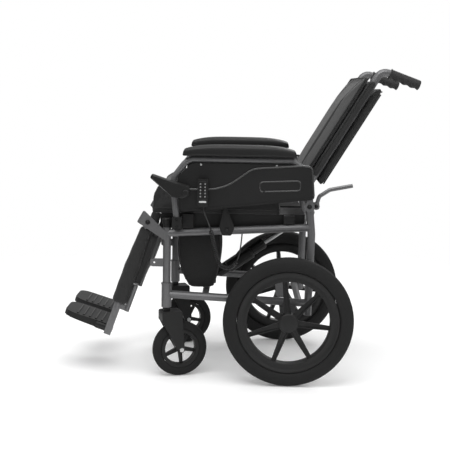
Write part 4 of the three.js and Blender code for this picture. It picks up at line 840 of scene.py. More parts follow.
def shaped(piece: Piece, rule: Callable[[Vector], Vector]) -> Piece:
    """Moves each point of a piece.

    Args:
        piece: the object.
        rule: takes a point and gives its new place.

    Returns:
        The same object.
    """
    for vertex in piece.data.vertices:
        vertex.co = rule(vertex.co.copy())
    piece.data.update()
    return piece


def pillow(name: str, cells: Sequence[int], rule: Rule) -> Piece:
    """Makes a fine closed box whose points are placed by a shaping rule.

    Args:
        name: the piece's name.
        cells: divisions along X, Y and Z.
        rule: takes shares from -1 to 1 along each side and gives the point in metres.

    Returns:
        The new object.
    """
    known: dict[tuple[int, ...], int] = {}
    faces = []
    for axis in range(3):
        u, v = [a for a in range(3) if a != axis]
        for level in (0, cells[axis]):
            for a in range(cells[u]):
                for b in range(cells[v]):
                    face = []
                    for da, db in ((0, 0), (1, 0), (1, 1), (0, 1)):
                        key = [level] * 3
                        key[u], key[v] = a + da, b + db
                        face.append(known.setdefault(tuple(key), len(known)))
                    faces.append(face)
    places = [rule(*(2 * at / count - 1 for at, count in zip(key, cells))) for key in known]
    return outward(mesh_piece(name, places, faces))


@dataclass
class Puff:
    """How a padded cover is blown up by its filling."""

    pressure: float
    cap_mm: float
    voxel_mm: float = 6.0
    frames: int = 20
    mass: float = 0.3
    stretch: float = 12.0
    shear: float = 4.0
    bending: float = 0.6

    def blow(self, piece: Piece, held: Callable[[Vector], bool]) -> Piece:
        """Simulates the cover as cloth under pressure and keeps the result.

        Args:
            piece: the closed cover.
            held: says which points rest on something and stay.

        Returns:
            The same object with its new shape.
        """
        configured(piece.modifiers.new("cover_cloth", "REMESH"), mode="VOXEL", voxel_size=self.voxel_mm * MM)
        applied(piece)
        start = np.array([v.co for v in piece.data.vertices])
        group = piece.vertex_groups.new(name="held")
        group.add([v.index for v in piece.data.vertices if held(v.co)], 1.0, "REPLACE")
        cloth = piece.modifiers.new("filling", "CLOTH")
        configured(cloth.settings, quality=4, mass=self.mass, tension_stiffness=self.stretch,
                   compression_stiffness=self.stretch, shear_stiffness=self.shear,
                   bending_stiffness=self.bending, use_pressure=True, uniform_pressure_force=self.pressure,
                   vertex_group_mass=group.name)
        cloth.settings.effector_weights.gravity = 0.0
        cloth.collision_settings.use_collision = False
        configured(cloth.point_cache, frame_start=1, frame_end=self.frames)
        for step in range(1, self.frames + 1):
            bpy.context.scene.frame_set(step)
        applied(piece)
        bpy.context.scene.frame_set(1)
        move = np.array([v.co for v in piece.data.vertices]) - start
        far = np.linalg.norm(move, axis=1, keepdims=True)
        kept = start + move * np.minimum(1.0, self.cap_mm * MM / np.maximum(far, 1e-9))
        piece.data.vertices.foreach_set("co", kept.ravel())
        piece.vertex_groups.clear()
        piece.data.update()
        return piece


def stitches(name: str, line: Sequence[Vector], pitch_mm: float = 7.0, long_mm: float = 5.0) -> Piece:
    """Sews a row of stitches along a line.

    Args:
        name: the piece's name.
        line: points that the row follows.
        pitch_mm: from one stitch to the next.
        long_mm: the length of a stitch.

    Returns:
        One object that holds the row.
    """
    row = evenly(line, pitch_mm * MM)
    runs = [(a, (b - a) * long_mm / pitch_mm) for a, b in zip(row, row[1:])]
    return merged(name, [sweep(f"{name}_{k}", [a, a + run / 2, a + run], THREAD_MM / 2 * MM, 5)
                         for k, (a, run) in enumerate(runs)])


def outline_at(piece: Piece, z: float) -> list[Vector]:
    """Finds the outline of a piece at a height.

    Args:
        piece: the mesh, already in the frame's own axes.
        z: the height of the cut.

    Returns:
        Points on the surface, in order round it, with the first one again at the end.
    """
    work = bmesh.new()
    work.from_mesh(piece.data)
    whole = work.verts[:] + work.edges[:] + work.faces[:]
    cut = bmesh.ops.bisect_plane(work, geom=whole, plane_co=(0, 0, z), plane_no=(0, 0, 1))
    points = [v.co.copy() for v in cut["geom_cut"] if isinstance(v, bmesh.types.BMVert)]
    work.free()
    centre = sum(points, Vector()) / len(points)
    points.sort(key=lambda p: math.atan2(p.y - centre.y, p.x - centre.x))
    line = evenly(points + points[:1], distances(points)[-1] / OUTLINE_POINTS)
    return line[:-1] + line[:1]


@dataclass
class SeatCushion:
    """The seat cushion: a boxed foam slab, crowned by its filling, with two sewn cross channels."""

    channel_shares: Pair = (-0.33, 0.33)
    channel_deep: float = 6.0 * MM
    channel_wide: float = 14.0 * MM
    inset: float = 8 * MM
    roll: float = 20 * MM
    # What the filling adds above the slab, and how far the cover may stand over its node
    crown: float = 11 * MM
    over: float = 3 * MM
    pipings: tuple[tuple[str, float], ...] = (("lower", 0.16), ("upper", 0.8))
    puff: Puff = field(default_factory=lambda: Puff(4.0, 11.0))

    def build(self) -> None:
        """Makes the cushion, its edge piping and its channel seams."""
        low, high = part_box("seat_cushion")
        centre, half = span(low, high)

        def slab(a: float, b: float, c: float) -> Triple:
            """Rounds the slab's front and side edges before it is blown up."""
            up = max(0.0, c) ** 2
            pull = self.inset * (1 + (1 - c * c) * 0.7 * (1 - b ** 4))
            x = centre.x + a * (half.x - pull - self.roll * 0.35 * up)
            pull = self.inset * (1 + (1 - c * c) * 0.7 * (1 - a ** 4))
            y = centre.y + b * (half.y - pull - self.roll * 0.6 * up)
            return x, y, low.z + (c + 1) / 2 * (2 * half.z - self.crown)

        def channels(p: Vector) -> Vector:
            """Sinks the sewn channels and keeps the cover inside its box."""
            sewn = sum(ridge(p.y - centre.y - s * half.y, self.channel_wide) for s in self.channel_shares)
            sink = sewn * self.channel_deep * clamp((p.z - centre.z) / half.z * 2)
            return Vector((p.x, p.y, max(low.z, min(high.z + self.over, p.z - sink))))

        cushion = pillow("seat_cushion_cover", (24, 22, 8), slab)
        refined(self.puff.blow(cushion, lambda p: p.z < low.z + 3 * MM))
        shaped(cushion, channels)
        dress(cushion, CLOTH, "frame", "seat_cushion")
        for word, share in self.pipings:
            line = outline_at(cushion, low.z + share * (high.z - low.z))
            edging(f"seat_cushion_{word}_piping", 2.0, [line], TAPE, "frame")


BACK_LEAN = math.radians(31)
BACK = Matrix.Translation(chair(0, *BACK_PIVOT)) @ Matrix.Rotation(-BACK_LEAN, 4, "X")


def on_back(x: float, y: float, z: float) -> Vector:
    """Turns millimetres in the backrest's own upright space into the frame's metres."""
    return BACK @ Vector((x * MM, y * MM, z * MM))


@dataclass(frozen=True)
class Panel:
    """One padded panel in the backrest's space, with rolled edges and a top that may fall to the rear."""

    half: float
    front: float
    rear: float
    low: float
    high: float
    roll: float
    slope: float = 0.0
    belly: float = 0.07
    pinch: float = 0.55

    def build(self, name: str, node: str, fill: float) -> Piece:
        """Makes the panel with slight hollows between its rows of stitching.

        Args:
            name: the panel's name.
            node: the CAD node that it stands for, if any.
            fill: how much of it is filling; not used.

        Returns:
            The dressed panel.
        """
        mid_y, half_y = span(self.front, self.rear)
        mid_z, half_z = span(self.low, self.high)

        def slab(a: float, b: float, c: float) -> Vector:
            """Rolls the panel's edges over and lets its faces belly a little."""
            edge = 1 - self.pinch * max(abs(a) ** 14, abs(c) ** 14)
            belly = 1.0 - self.belly * (math.cos(a * 7.5) * math.cos(c * 5.5)) ** 2
            rolled = self.roll * b * b
            y = mid_y + b * half_y * belly * edge
            z = mid_z + c * (half_z - rolled) - (c + 1) / 2 * self.slope * (y - self.front)
            return on_back(a * (self.half - rolled), y, z)

        panel = refined(pillow(name, (48, 8, 40), slab))
        return dress(panel, CLOTH, "back", node)


@dataclass
class Backrest:
    """The backrest's cloth: the cushion, the sleeve panel on the canes and the deep rear flap."""

    half: float = 221.0
    thick: float = 12.5
    crown: float = 15.0
    bottom: float = -26.0
    top: float = 391.0
    sling: Panel = Panel(223.5, -18.0, 16.0, 44.0, 383.0, 2.7)
    flap: Panel = Panel(212.0, 17.8, 41.8, 31.0, 379.0, 3.6, slope=0.37)
    sleeve_x: float = 186.0
    channels: Pair = (-115.0, 115.0)
    channel_deep: float = 6.0
    channel_wide: float = 13.0
    puff: Puff = field(default_factory=lambda: Puff(2.5, 6.0))

    def build(self) -> None:
        """Makes the three cloth pieces with their seams."""
        self.cushion()
        self.sling.build("back_sling_cover", "back_upholstery", 0.5)
        self.flap.build("back_rear_flap", "", 0.4)
        self.tapes()
        self.stitching()

    def cushion(self) -> None:
        """Blows up the back cushion between its straight sides and sews its two upright channels."""
        rear = self.sling.front - 0.5
        mid_z, half_z = span(self.bottom, self.top)
        inverse = BACK.inverted()
        limit = self.thick + 2

        def slab(a: float, b: float, c: float) -> Vector:
            """Crowns the face, keeps the sides straight and rolls the top over."""
            front = (1 - b) / 2
            crown = self.crown * (1 - a ** 4) * (1 - c ** 4)
            x = a * (self.half - 3 - 5 * front ** 3)
            z = mid_z + c * (half_z - 3 - (10 if c > 0 else 4) * front ** 3)
            return on_back(x, rear - front * (self.thick + crown - 3), z)

        def sew(p: Vector) -> Vector:
            """Sinks the channels into the face and keeps the back face and the side edges in place."""
            local = (inverse @ p) / MM
            a, c = local.x / self.half, (local.z - mid_z) / half_z
            inner = max(0.0, 1 - a ** 4) * max(0.0, 1 - c ** 4)
            sewn = sum(ridge(local.x - x, self.channel_wide) for x in self.channels)
            sink = sewn * self.channel_deep * clamp((rear - local.y) / limit) * min(1.0, 2 * inner)
            least = rear - limit - (self.crown + 2) * inner
            return on_back(local.x, min(rear, max(least, local.y) + sink), local.z)

        cushion = pillow("back_cushion_cover", (30, 5, 26), slab)
        refined(self.puff.blow(cushion, lambda p: (inverse @ p).y > (rear - 5) * MM))
        shaped(cushion, sew)
        dress(cushion, CLOTH, "back", "back_cushion")
        x, y, low, high = self.half - 6.5, rear - self.thick + 2.5, self.bottom + 8, self.top - 10
        corners = [on_back(*p) for p in ((-x, y, low), (x, y, low), (x, y, high), (-x, y, high))]
        line = evenly(rounded_loop(corners, 14 * MM, 6), 12 * MM)
        edging("back_cushion_piping", 2.4, [line], TAPE, "back")

    def tapes(self) -> None:
        """Binds the side edges of both panels and the top of the flap."""
        flap, sling = self.flap, self.sling
        tapes = []
        for side in Side:
            for radius, x, y, heights in (
                    (2.2, flap.half - 1.0, flap.rear - 4, (flap.low + 6, 120, 220, 300, flap.high - 18)),
                    (2.0, sling.half - 1.5, sling.front + 5, (sling.low + 6, 130, 220, 310, sling.high - 8))):
                tapes.append(sweep("tape", [on_back(side.value * x, y, z) for z in heights], radius * MM))
        x, y, z = flap.half - 6, flap.rear - 5, flap.high - 9
        tapes.append(sweep("tape", [on_back(at, y, z) for at in (-x, -90, 0, 90, x)], 2.2 * MM))
        dress(merged("back_edge_tapes", tapes), TAPE, "back")

    def stitching(self) -> None:
        """Sews a short row at the top of each sleeve, and rows down the sides and along the top of the flap."""
        flap, sling = self.flap, self.sling
        edge, out, up = flap.half - 16, flap.rear - 0.6, flap.high
        ends = []
        for side in Side:
            x, edge_x = side.value * self.sleeve_x, side.value * edge
            ends.append([(x, sling.front - 0.3, sling.high - 8), (x, sling.front - 0.3, sling.high - 20)])
            ends.append([(edge_x, out, flap.low + 14), (edge_x, out, up - 24)])
        ends.append([(-edge, out, up - 26), (edge, out, up - 26)])
        rows = [stitches("row", [on_back(*p) for p in pair]) for pair in ends]
        dress(merged("back_stitching", rows), THREAD, "back")


@dataclass
class PushGrip:
    """A moulded grip with four finger scallops, an inner flange and a rounded end."""

    side: Side
    radius: float = 14.5
    long: float = 99.0
    scallops: int = 4
    deep: float = 3.0
    swell: float = 2.5
    flange: float = 2.0
    pitch: float = math.radians(11)
    start: Triple = (208.0, 27.0, 429.2)
    steps: int = 64
    sides: int = 28

    def build(self) -> None:
        """Lofts the grip along its own axis."""
        x, y, z = self.start
        place = BACK @ Matrix.Translation(Vector((self.side.value * x, y, z)) * MM)
        place = place @ Matrix.Rotation(self.pitch, 4, "X")
        rings = []
        for share in (k / self.steps for k in range(self.steps + 1)):
            dip = self.deep * (0.5 - 0.5 * math.cos(share * self.scallops * 2 * math.pi))
            end = math.sqrt(1 - clamp((share - 0.95) / 0.05) ** 2) * 0.35 + 0.65
            plain = self.radius + self.flange * ridge(share - 0.015, 0.03)
            ring = []
            for t in turns(self.sides):
                r = (plain + (self.swell - dip) * max(0.0, -math.sin(t))) * end
                ring.append(place @ (Vector((r * math.cos(t), share * self.long, r * math.sin(t))) * MM))
            rings.append(ring)
        grip = loft(f"push_grip_{self.side}_moulded", rings)
        dress(grip, GRIP, "back", f"push_grip_{self.side}")


LEG_LEAN = math.radians(19.6)


@dataclass
class Leg:
    """One legrest's cloth: the padded sleeve on the tube and the calf pad behind it."""

    side: Side
    eye_half: float = 11.0
    sleeve_from: float = 22.0
    sleeve_to: float = 276.0
    sleeve_half: float = 17.0
    neck_half: float = 12.0
    neck_to: float = 37.0
    shoulder: float = 14.0
    full_from: float = 150.0
    sleeve_front: float = 23.0
    sleeve_rear: float = 25.0
    squareness: float = 3.2
    steps: int = 44
    sides: int = 32
    seams: int = 8
    pad_mid: float = -67.5
    pad_half: float = 71.5
    pad_from: float = 34.0
    pad_to: float = 203.0
    pad_front: float = 25.3
    pad_thick: float = 26.0
    pad_crown: float = 6.0
    pad_draw: float = 4.0

    def __post_init__(self) -> None:
        """Finds the leg's space: its origin at the knee pivot, -Z down the leg."""
        low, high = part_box(f"leg_tube_{self.side}")
        outer = high.x if self.side is Side.LEFT else low.x
        knee = Vector((outer - self.side.value * self.eye_half * MM, *chair(0, *KNEE_PIVOT).yz))
        self.space = Matrix.Translation(knee) @ Matrix.Rotation(-LEG_LEAN, 4, "X")
        self.body = f"leg_{self.side}"

    def build(self) -> None:
        """Makes the sleeve, its seam and piping, and the calf pad."""
        self.sleeve()
        self.sleeve_seams()
        self.calf_pad()

    def at(self, x: float, y: float, z: float) -> Vector:
        """Turns millimetres in the leg's space, x outward, into the frame's metres."""
        return self.space @ Vector((self.side.value * x * MM, y * MM, z * MM))

    def depth_share(self, down: float) -> float:
        """Gives the share of its full depth that the sleeve has at a distance down the leg."""
        return 0.72 + 0.28 * clamp((down - self.neck_to) / (self.full_from - self.neck_to))

    def sleeve(self) -> None:
        """Lofts the sleeve with soft folds that run round it."""
        rings = []
        for share in (k / self.steps for k in range(self.steps + 1)):
            down = self.sleeve_from + share * (self.sleeve_to - self.sleeve_from)
            end = 1 - 0.2 * max(0.0, abs(2 * share - 1) - 0.93) / 0.07
            hem = 0.03 * (ridge(share - 0.03, 0.02) + ridge(share - 0.97, 0.02))
            spread = clamp((down - self.neck_to) / self.shoulder)
            half = self.neck_half + (self.sleeve_half - self.neck_half) * spread
            ring = []
            for t in turns(self.sides):
                cx, cy = math.cos(t), math.sin(t)
                bulk = (abs(cx) ** self.squareness + abs(cy) ** self.squareness) ** (-1 / self.squareness)
                fold = 1 + 0.012 * math.sin(9 * share * math.pi + 1.7 * math.sin(2 * t))
                fold += 0.01 * math.sin(23 * share + 3 * t)
                deep = (self.sleeve_rear if cy > 0 else self.sleeve_front) * self.depth_share(down)
                grow = (end + hem) * fold * 0.985 * bulk
                ring.append(self.at(half * cx * grow, deep * cy * grow, -down))
            rings.append(ring)
        sleeve = loft(f"leg_sleeve_{self.side}", rings)
        dress(sleeve, CLOTH, self.body, f"leg_cover_{self.side}")

    def sleeve_seams(self) -> None:
        """Sews a seam down the sleeve's outer rear edge, with a piping beside it."""
        first = self.neck_to + self.shoulder + 2
        step = (self.sleeve_to - 10 - first) / self.seams

        def row(out: float, back: float) -> list[Vector]:
            """Gives a line down the sleeve at shares of its half width and of its depth."""
            return [self.at(self.sleeve_half * out, self.sleeve_rear * back * self.depth_share(down), -down)
                    for down in (first + k * step for k in range(self.seams + 1))]

        seam = stitches(f"leg_sleeve_seam_{self.side}", row(0.86, 0.82), 8, 5.5)
        dress(seam, THREAD, self.body)
        edging(f"leg_sleeve_piping_{self.side}", 1.8, [row(0.7, 0.93)], TAPE, self.body)

    def calf_pad(self) -> None:
        """Makes the stuffed calf pad with tape round its edge."""
        mid_z, half_z = span(-self.pad_to, -self.pad_from)

        def stuffed(a: float, b: float, c: float) -> Vector:
            """Crowns the rear face and draws the sides in between the corners."""
            draw = self.pad_draw * (1 - b * b)
            crown = self.pad_crown * (1 - a ** 4) * (1 - c ** 4) * max(0.0, b)
            x = a * (self.pad_half * (1 - 0.05 * abs(c) ** 6) - draw * (1 - c ** 4))
            z = c * (half_z * (1 - 0.05 * abs(a) ** 6) - draw * (1 - a ** 4))
            y = self.pad_front + (self.pad_thick - self.pad_crown) * (b + 1) / 2 + crown
            return self.at(self.pad_mid + x, y, mid_z + z)

        pad = refined(pillow(f"calf_pad_cover_{self.side}", (18, 6, 20), stuffed))
        dress(pad, CLOTH, self.body, f"calf_pad_{self.side}")
        x, z = self.pad_half - 1.2, half_z - 1.2
        loops = [rounded_loop([self.at(self.pad_mid + a * x, y, mid_z + c * z)
                               for a, c in ((-1, -1), (1, -1), (1, 1), (-1, 1))], 12 * MM)
                 for y in (self.pad_front + 2.0, self.pad_front + self.pad_thick - 8.0)]
        edging(f"calf_pad_tapes_{self.side}", 1.8, loops, TAPE, self.body)


@dataclass
class ArmPad:
    """One armrest's vinyl pad: flat underneath, crowned along and across, with a moulded seam."""

    side: Side
    half: float = 26.0
    mid_y: float = -160.5
    half_y: float = 173.5
    edge_tall: float = 22.0
    tall: float = 36.0
    seam_up: float = 5 * MM

    def build(self) -> None:
        """Makes the pad and its seam line."""
        low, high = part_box(f"arm_pad_{self.side}")
        mid_x = span(low.x, high.x)[0]

        def skin(a: float, b: float, c: float) -> Vector:
            """Rounds the pad's ends and shoulders."""
            up = (c + 1) / 2
            height = self.edge_tall + (self.tall - self.edge_tall) * (1 - b ** 4)
            side = (0.97 + 0.03 * math.sin(up * math.pi)) * (1 - 0.1 * up ** 4)
            x = self.half * (1 - 0.3 * b ** 10) * side
            z = up * height * (1 - 0.2 * up ** 3 * a ** 2)
            flat = chair(a * x, self.mid_y + b * (self.half_y - 6 * up ** 3), z)
            return flat + Vector((mid_x, 0, low.z))

        pad = refined(pillow(f"arm_pad_skin_{self.side}", (12, 44, 8), skin))
        dress(pad, VINYL, f"arm_{self.side}", f"arm_pad_{self.side}")
        line = outline_at(pad, low.z + self.seam_up)
        edging(f"arm_pad_seam_{self.side}", 1.1, [line], VINYL, f"arm_{self.side}", 6)


@dataclass
class BatteryBag:
    """The nylon bag under the seat: a sagging box with bound edges and two straps."""

    # Where the bound edges and the straps run, as shares of half the width
    edges: Pair = (-0.99, 0.99)
    straps: Pair = (-0.5, 0.5)
    # The bag's line in mm at its top, its middle and its foot
    front: Triple = (-342, -351, -318)
    rear: Triple = (-220, -214.5, -238)
    play: float = 1.5 * MM
    webbing: Pair = (11 * MM, 1.2 * MM)

    def build(self) -> None:
        """Makes the bag and what is sewn to it."""
        self.low, self.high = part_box("battery_bag")
        bag = refined(pillow("battery_bag_cloth", (16, 16, 26), self.cloth_point))
        dress(bag, BAG_CLOTH, "frame", "battery_bag")
        edges = [self.round_line(a) for a in self.edges]
        edging("battery_bag_binding", 2.0, edges, TAPE, "frame")
        straps = [band("bag_strap", self.round_line(a), *self.webbing) for a in self.straps]
        dress(merged("battery_bag_straps", straps), TAPE, "frame")

    def cloth_point(self, a: float, b: float, c: float) -> Vector:
        """Fits the bag between its front and rear lines and rounds its corners.

        Args:
            a: the share across, from -1 to 1.
            b: the share from front to rear.
            c: the share from bottom to top.

        Returns:
            The point in metres.
        """
        share = (1 - c) / 2
        weights = ((1 - share) * (1 - 2 * share), 4 * share * (1 - share), share * (2 * share - 1))
        mid_x, half_x = span(self.low.x, self.high.x)
        mid_y, half_y = span(*(sum(w * y for w, y in zip(weights, line)) for line in (self.front, self.rear)))
        tall = self.high.z - self.low.z - 2 * self.play
        sag = 1 - 0.04 * b ** 4 - 0.10 * max(0.0, share - 0.85) / 0.15
        wave = 1.2 * math.sin(9 * share + 2 * a) * (1 - abs(b))
        y = mid_y + b * half_y * (1 - 0.06 * abs(a) ** 5) + wave
        z = self.high.z - self.play - share * tall * (1 - 0.02 * (a ** 6 + b ** 6))
        return Vector((mid_x + a * half_x * sag, chair(0, y, 0).y, z))

    def round_line(self, a: float) -> list[Vector]:
        """Gives the line down the front, under the bag and up its rear at a share of its width."""
        down = [(-1, 1 - 0.2 * k) for k in range(10)]
        under = [(-1 + 0.25 * k, -1) for k in range(1, 8)]
        up = [(1, -1 + 0.2 * k) for k in range(10)]
        return [self.cloth_point(a, b, c) for b, c in down + under + up]


def band(name: str, line: Sequence[Vector], half_wide: float, thick: float) -> Piece:
    """Lays a strap of webbing along a line, its width along X.

    Args:
        name: the piece's name.
        line: points along the strap.
        half_wide: half of its width.
        thick: half of its thickness.

    Returns:
        The new object.
    """
    wide = Vector((half_wide, 0, 0))
    rings = []
    for i, point in enumerate(line):
        out = heading(line, i).cross(wide).normalized() * thick
        rings.append([point - wide - out, point + wide - out, point + wide + out, point - wide + out])
    return loft(name, rings)


@dataclass
class HandsetLead:
    """The handset's curly lead: straight ends and one run of even curls between them, in millimetres."""

    radius: float = 2.2
    coil_radius: float = 4.8
    pitch: float = 6.6
    curls: int = 31
    coil_from: float = 78.0
    run_in: float = 5.0
    end_steps: int = 14
    curl_steps: int = 16
    spine_steps: int = 24
    start: Triple = (279.6, -268.0, 554.2)
    # Distances inboard, aft and down from the start
    drop: tuple[Triple, ...] = (
        (0, 0, 0), (0, 0.5, 10), (1, 8, 28), (10, 18, 55), (20, 23, 75), (31, 28, 97), (42, 35, 131),
        (53, 43, 165), (66, 55, 191), (79, 75, 201), (92, 93, 196), (103, 105, 180), (112, 112, 160),
        (120, 116, 138),
    )
    end: Triple = (150.0, -148.0, 476.1)
    straight: float = 18.2
    blend_end: Triple = (226, -225, 389)

    def build(self) -> None:
        """Makes the lead as one tube in the sheath's finish."""
        line = self.centre_line()
        lead = sweep("handset_curly_lead", line, self.radius * MM, 10)
        lead.data.materials.append(SHEATH.build())
        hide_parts("handset_lead")
        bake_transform(lead)

    def spine(self) -> list[Vector]:
        """Draws the smooth line that the curls run along, a centripetal spline in millimetres."""
        top, end = Vector(self.start), Vector(self.end)
        points = [top + Vector((-inboard, aft, -down)) for inboard, aft, down in self.drop]
        points += [end - Vector((0, 0, self.straight)), end]
        whole = [points[0] * 2 - points[1], *points, points[-1] * 2 - points[-2]]
        out = []
        for four in zip(whole, whole[1:], whole[2:], whole[3:]):
            knots = [0.0]
            for p, q in zip(four, four[1:]):
                knots.append(knots[-1] + math.sqrt((q - p).length))
            for k in range(self.spine_steps):
                out.append(knot_point(four, knots, knots[1] + (knots[2] - knots[1]) * k / self.spine_steps))
        return out + points[-1:]

    def centre_line(self) -> list[Vector]:
        """Winds the curls about the spine and adds the plain ends, in metres."""
        spine = self.spine()
        ends = distances(spine)
        count, long = self.curls * self.curl_steps, self.curls * self.pitch
        out = [point_along(spine, ends, (self.coil_from - self.run_in) * k / self.end_steps)
               for k in range(self.end_steps)]
        across = Vector((1, 0, 0))
        for k in range(count + 1):
            at = self.coil_from + long * k / count
            ahead = (point_along(spine, ends, at + 0.5) - point_along(spine, ends, at - 0.5)).normalized()
            across = (across - ahead * across.dot(ahead)).normalized()
            turn = 2 * math.pi * k / self.curl_steps
            reach = min(1.0, k / self.curl_steps, (count - k) / self.curl_steps) * self.coil_radius
            round_it = across * math.cos(turn) + ahead.cross(across) * math.sin(turn)
            out.append(point_along(spine, ends, at) + round_it * reach)
        start = self.coil_from + long + self.run_in
        out += [point_along(spine, ends, start + (ends[-1] - start) * k / self.end_steps)
                for k in range(self.end_steps + 1)]
        return [chair(*p) for p in out]


def knot_point(points: Sequence[Vector], knots: Sequence[float], t: float) -> Vector:
    """Evaluates one stretch of a centripetal spline.

    Args:
        points: the four points round the stretch.
        knots: their knot values.
        t: the place between the second and third knot.

    Returns:
        The point on the curve.
    """

    def mix(row: Sequence[Vector], i: int, reach: int) -> Vector:
        """Blends two neighbours of a row by the place of t between two knots."""
        return row[i].lerp(row[i + 1], (t - knots[i]) / (knots[i + reach] - knots[i]))

    first = [mix(points, i, 1) for i in range(3)]
    second = [mix(first, i, 2) for i in range(2)]
    return second[0].lerp(second[1], (t - knots[1]) / (knots[2] - knots[1]))


@dataclass
class Fasteners:
    """The nuts and screws that show, each as its place, its radius and its height in millimetres."""

    # Name, body, head, finish, slot and the places on the left side; the right side mirrors them
    groups: tuple = (
        ("frame_nuts", "frame", HEX_NUT, BLACK_OXIDE, "frame_paint", (
            (219.2, *BACK_PIVOT, 6.5, 6), (262.0, 57, 560, 6.5, 5), (235.2, -196, 479.9, 5, 4),
            (220.0, *KNEE_PIVOT, 6.5, 5))),
        ("arm_socket_screws", "frame", SOCKET_SCREW, BLACK_OXIDE, "black_plastic", (
            (269.5, -350, 491, 4.2, 2.4), (269.5, -350, 512, 4.2, 2.4))),
        ("panel_screws", "arm_{}", SOCKET_SCREW, ZINC, "bright_steel", (
            (266.2, -278, 684, 3.6, 1.9), (266.2, -47, 684, 3.6, 1.9))),
    )
    release: tuple[float, ...] = (238.5, 79, 559, 5, 4)

    def build(self) -> None:
        """Places each group on the body that carries it."""
        for side in Side:
            for name, body, head, finish, slot, places in self.groups:
                pieces = [self.one(name, head, side, place) for place in places]
                dress(merged(f"{name}_{side}", pieces), finish, body.format(side))
        dress(self.one("release_nut", HEX_NUT, Side.LEFT, self.release), BLACK_OXIDE, "frame")

    def one(self, name: str, head: Head, side: Side, place: Sequence[float]) -> Piece:
        """Makes one nut or screw that faces outward."""
        x, y, z, radius, tall = place
        out = side.value
        return head.build(name, chair(out * x, y, z), Vector((out, 0, 0)), radius, tall)


@dataclass
class PanelBeads:
    """The rolled edges moulded on a side panel: one along its rim, one round its recess."""

    side: Side
    # How far below the panel's face each raised band lies, and its width
    bands: tuple[Pair, ...] = ((0.0, 5.0), (0.8, 4.0))
    shortest: float = 200.0 * MM
    plain_below: float = 592.0 * MM
    radius_share: float = 0.62
    sunk_share: float = 0.36

    def build(self) -> None:
        """Finds the raised bands on the panel and rolls a bead along the middle of each."""
        node = frame["nodes"][f"side_panel_{self.side}"]
        face = max(v.co.x * self.side.value for v in node.data.vertices) / MM
        beads = []
        for below, wide in self.bands:
            x = self.side.value * (face - below - self.sunk_share * wide) * MM
            for loop in self.loops(node, face - below):
                line = [(x, p.y, p.z) for p in self.upper(self.inset(loop, wide / 2))]
                beads.append(sweep("bead", line, self.radius_share * wide * MM, 12))
        # The beads carry the lighter ABS, a painted highlight along the panel's rolled edges
        dress(merged(f"side_panel_beads_{self.side}", beads), EDGE, f"arm_{self.side}")

    def loops(self, node: Piece, face: float) -> list[list[Vector]]:
        """Chains the outer edge of each raised band that lies in one plane.

        Args:
            node: the panel.
            face: how far out the plane is, in millimetres.

        Returns:
            The closed lines, the widest of each band only.
        """
        work = bmesh.new()
        work.from_mesh(node.data)
        # The node's faces don't share points, so they are joined before their edges are followed
        bmesh.ops.remove_doubles(work, verts=work.verts, dist=0.01 * MM)
        flat = {f for f in work.faces if abs(f.normal.x) > 0.99
                and abs(f.calc_center_median().x * self.side.value / MM - face) < 0.1}
        ahead = {}
        for edge in (e for f in flat for e in f.edges if sum(g in flat for g in e.link_faces) == 1):
            a, b = edge.verts
            ahead.setdefault(a, []).append(b)
            ahead.setdefault(b, []).append(a)
        found = []
        while ahead:
            line, last, here = [], None, min(ahead, key=lambda v: v.index)
            while here in ahead:
                onward = [v for v in ahead.pop(here) if v != last]
                line.append(here.co.copy())
                last, here = here, onward[0] if onward else None
            found.append(line)
        work.free()
        longest = max(distances(line)[-1] for line in found)
        return [line for line in found if distances(line)[-1] == longest > self.shortest]

    def upper(self, line: list[Vector]) -> list[Vector]:
        """Keeps the run of a closed line that lies above the panel's plain lower edge."""
        low = min(range(len(line) - 1), key=lambda k: line[k].z)
        return [p for p in line[low:-1] + line[:low] if p.z > self.plain_below]

    def inset(self, loop: list[Vector], by_mm: float) -> list[Vector]:
        """Moves a closed line inward in its plane and spaces its points evenly.

        Args:
            loop: the line's points.
            by_mm: how far it moves.

        Returns:
            The moved line, with its first point again at the end.
        """
        line = evenly(loop + loop[:1], 3 * MM)
        area = sum(a.y * b.z - b.y * a.z for a, b in zip(line, line[1:] + line[:1]))
        moved = []
        for a, b, c in zip(line[-1:] + line[:-1], line, line[1:] + line[:1]):
            along = (c - a).normalized() * math.copysign(by_mm * MM, area)
            moved.append(b + Vector((0, -along.z, along.y)))
        return moved + moved[:1]


@dataclass
class TreadLines:
    """Painted highlights along the crests of the five ribs across a footplate, in the leg's space."""

    side: Side
    ribs: int = 5
    first: float = 20.2
    step: float = 20.4
    rear: float = -12.2
    across: Pair = (-168.0, -49.0)
    down: float = 363.9
    fall_share: float = 0.0345

    def build(self) -> None:
        """Lays one thin pale line along the crest of each rib as a painted highlight."""
        leg = Leg(self.side)
        lines = [[leg.at(x, self.rear - run, -self.down - self.fall_share * run) for x in self.across]
                 for run in (self.first + k * self.step for k in range(self.ribs))]
        # Painted highlight: pale lines along the rib crests
        edging(f"footplate_tread_lines_{self.side}", 1.1, lines, TREAD, f"plate_{self.side}")


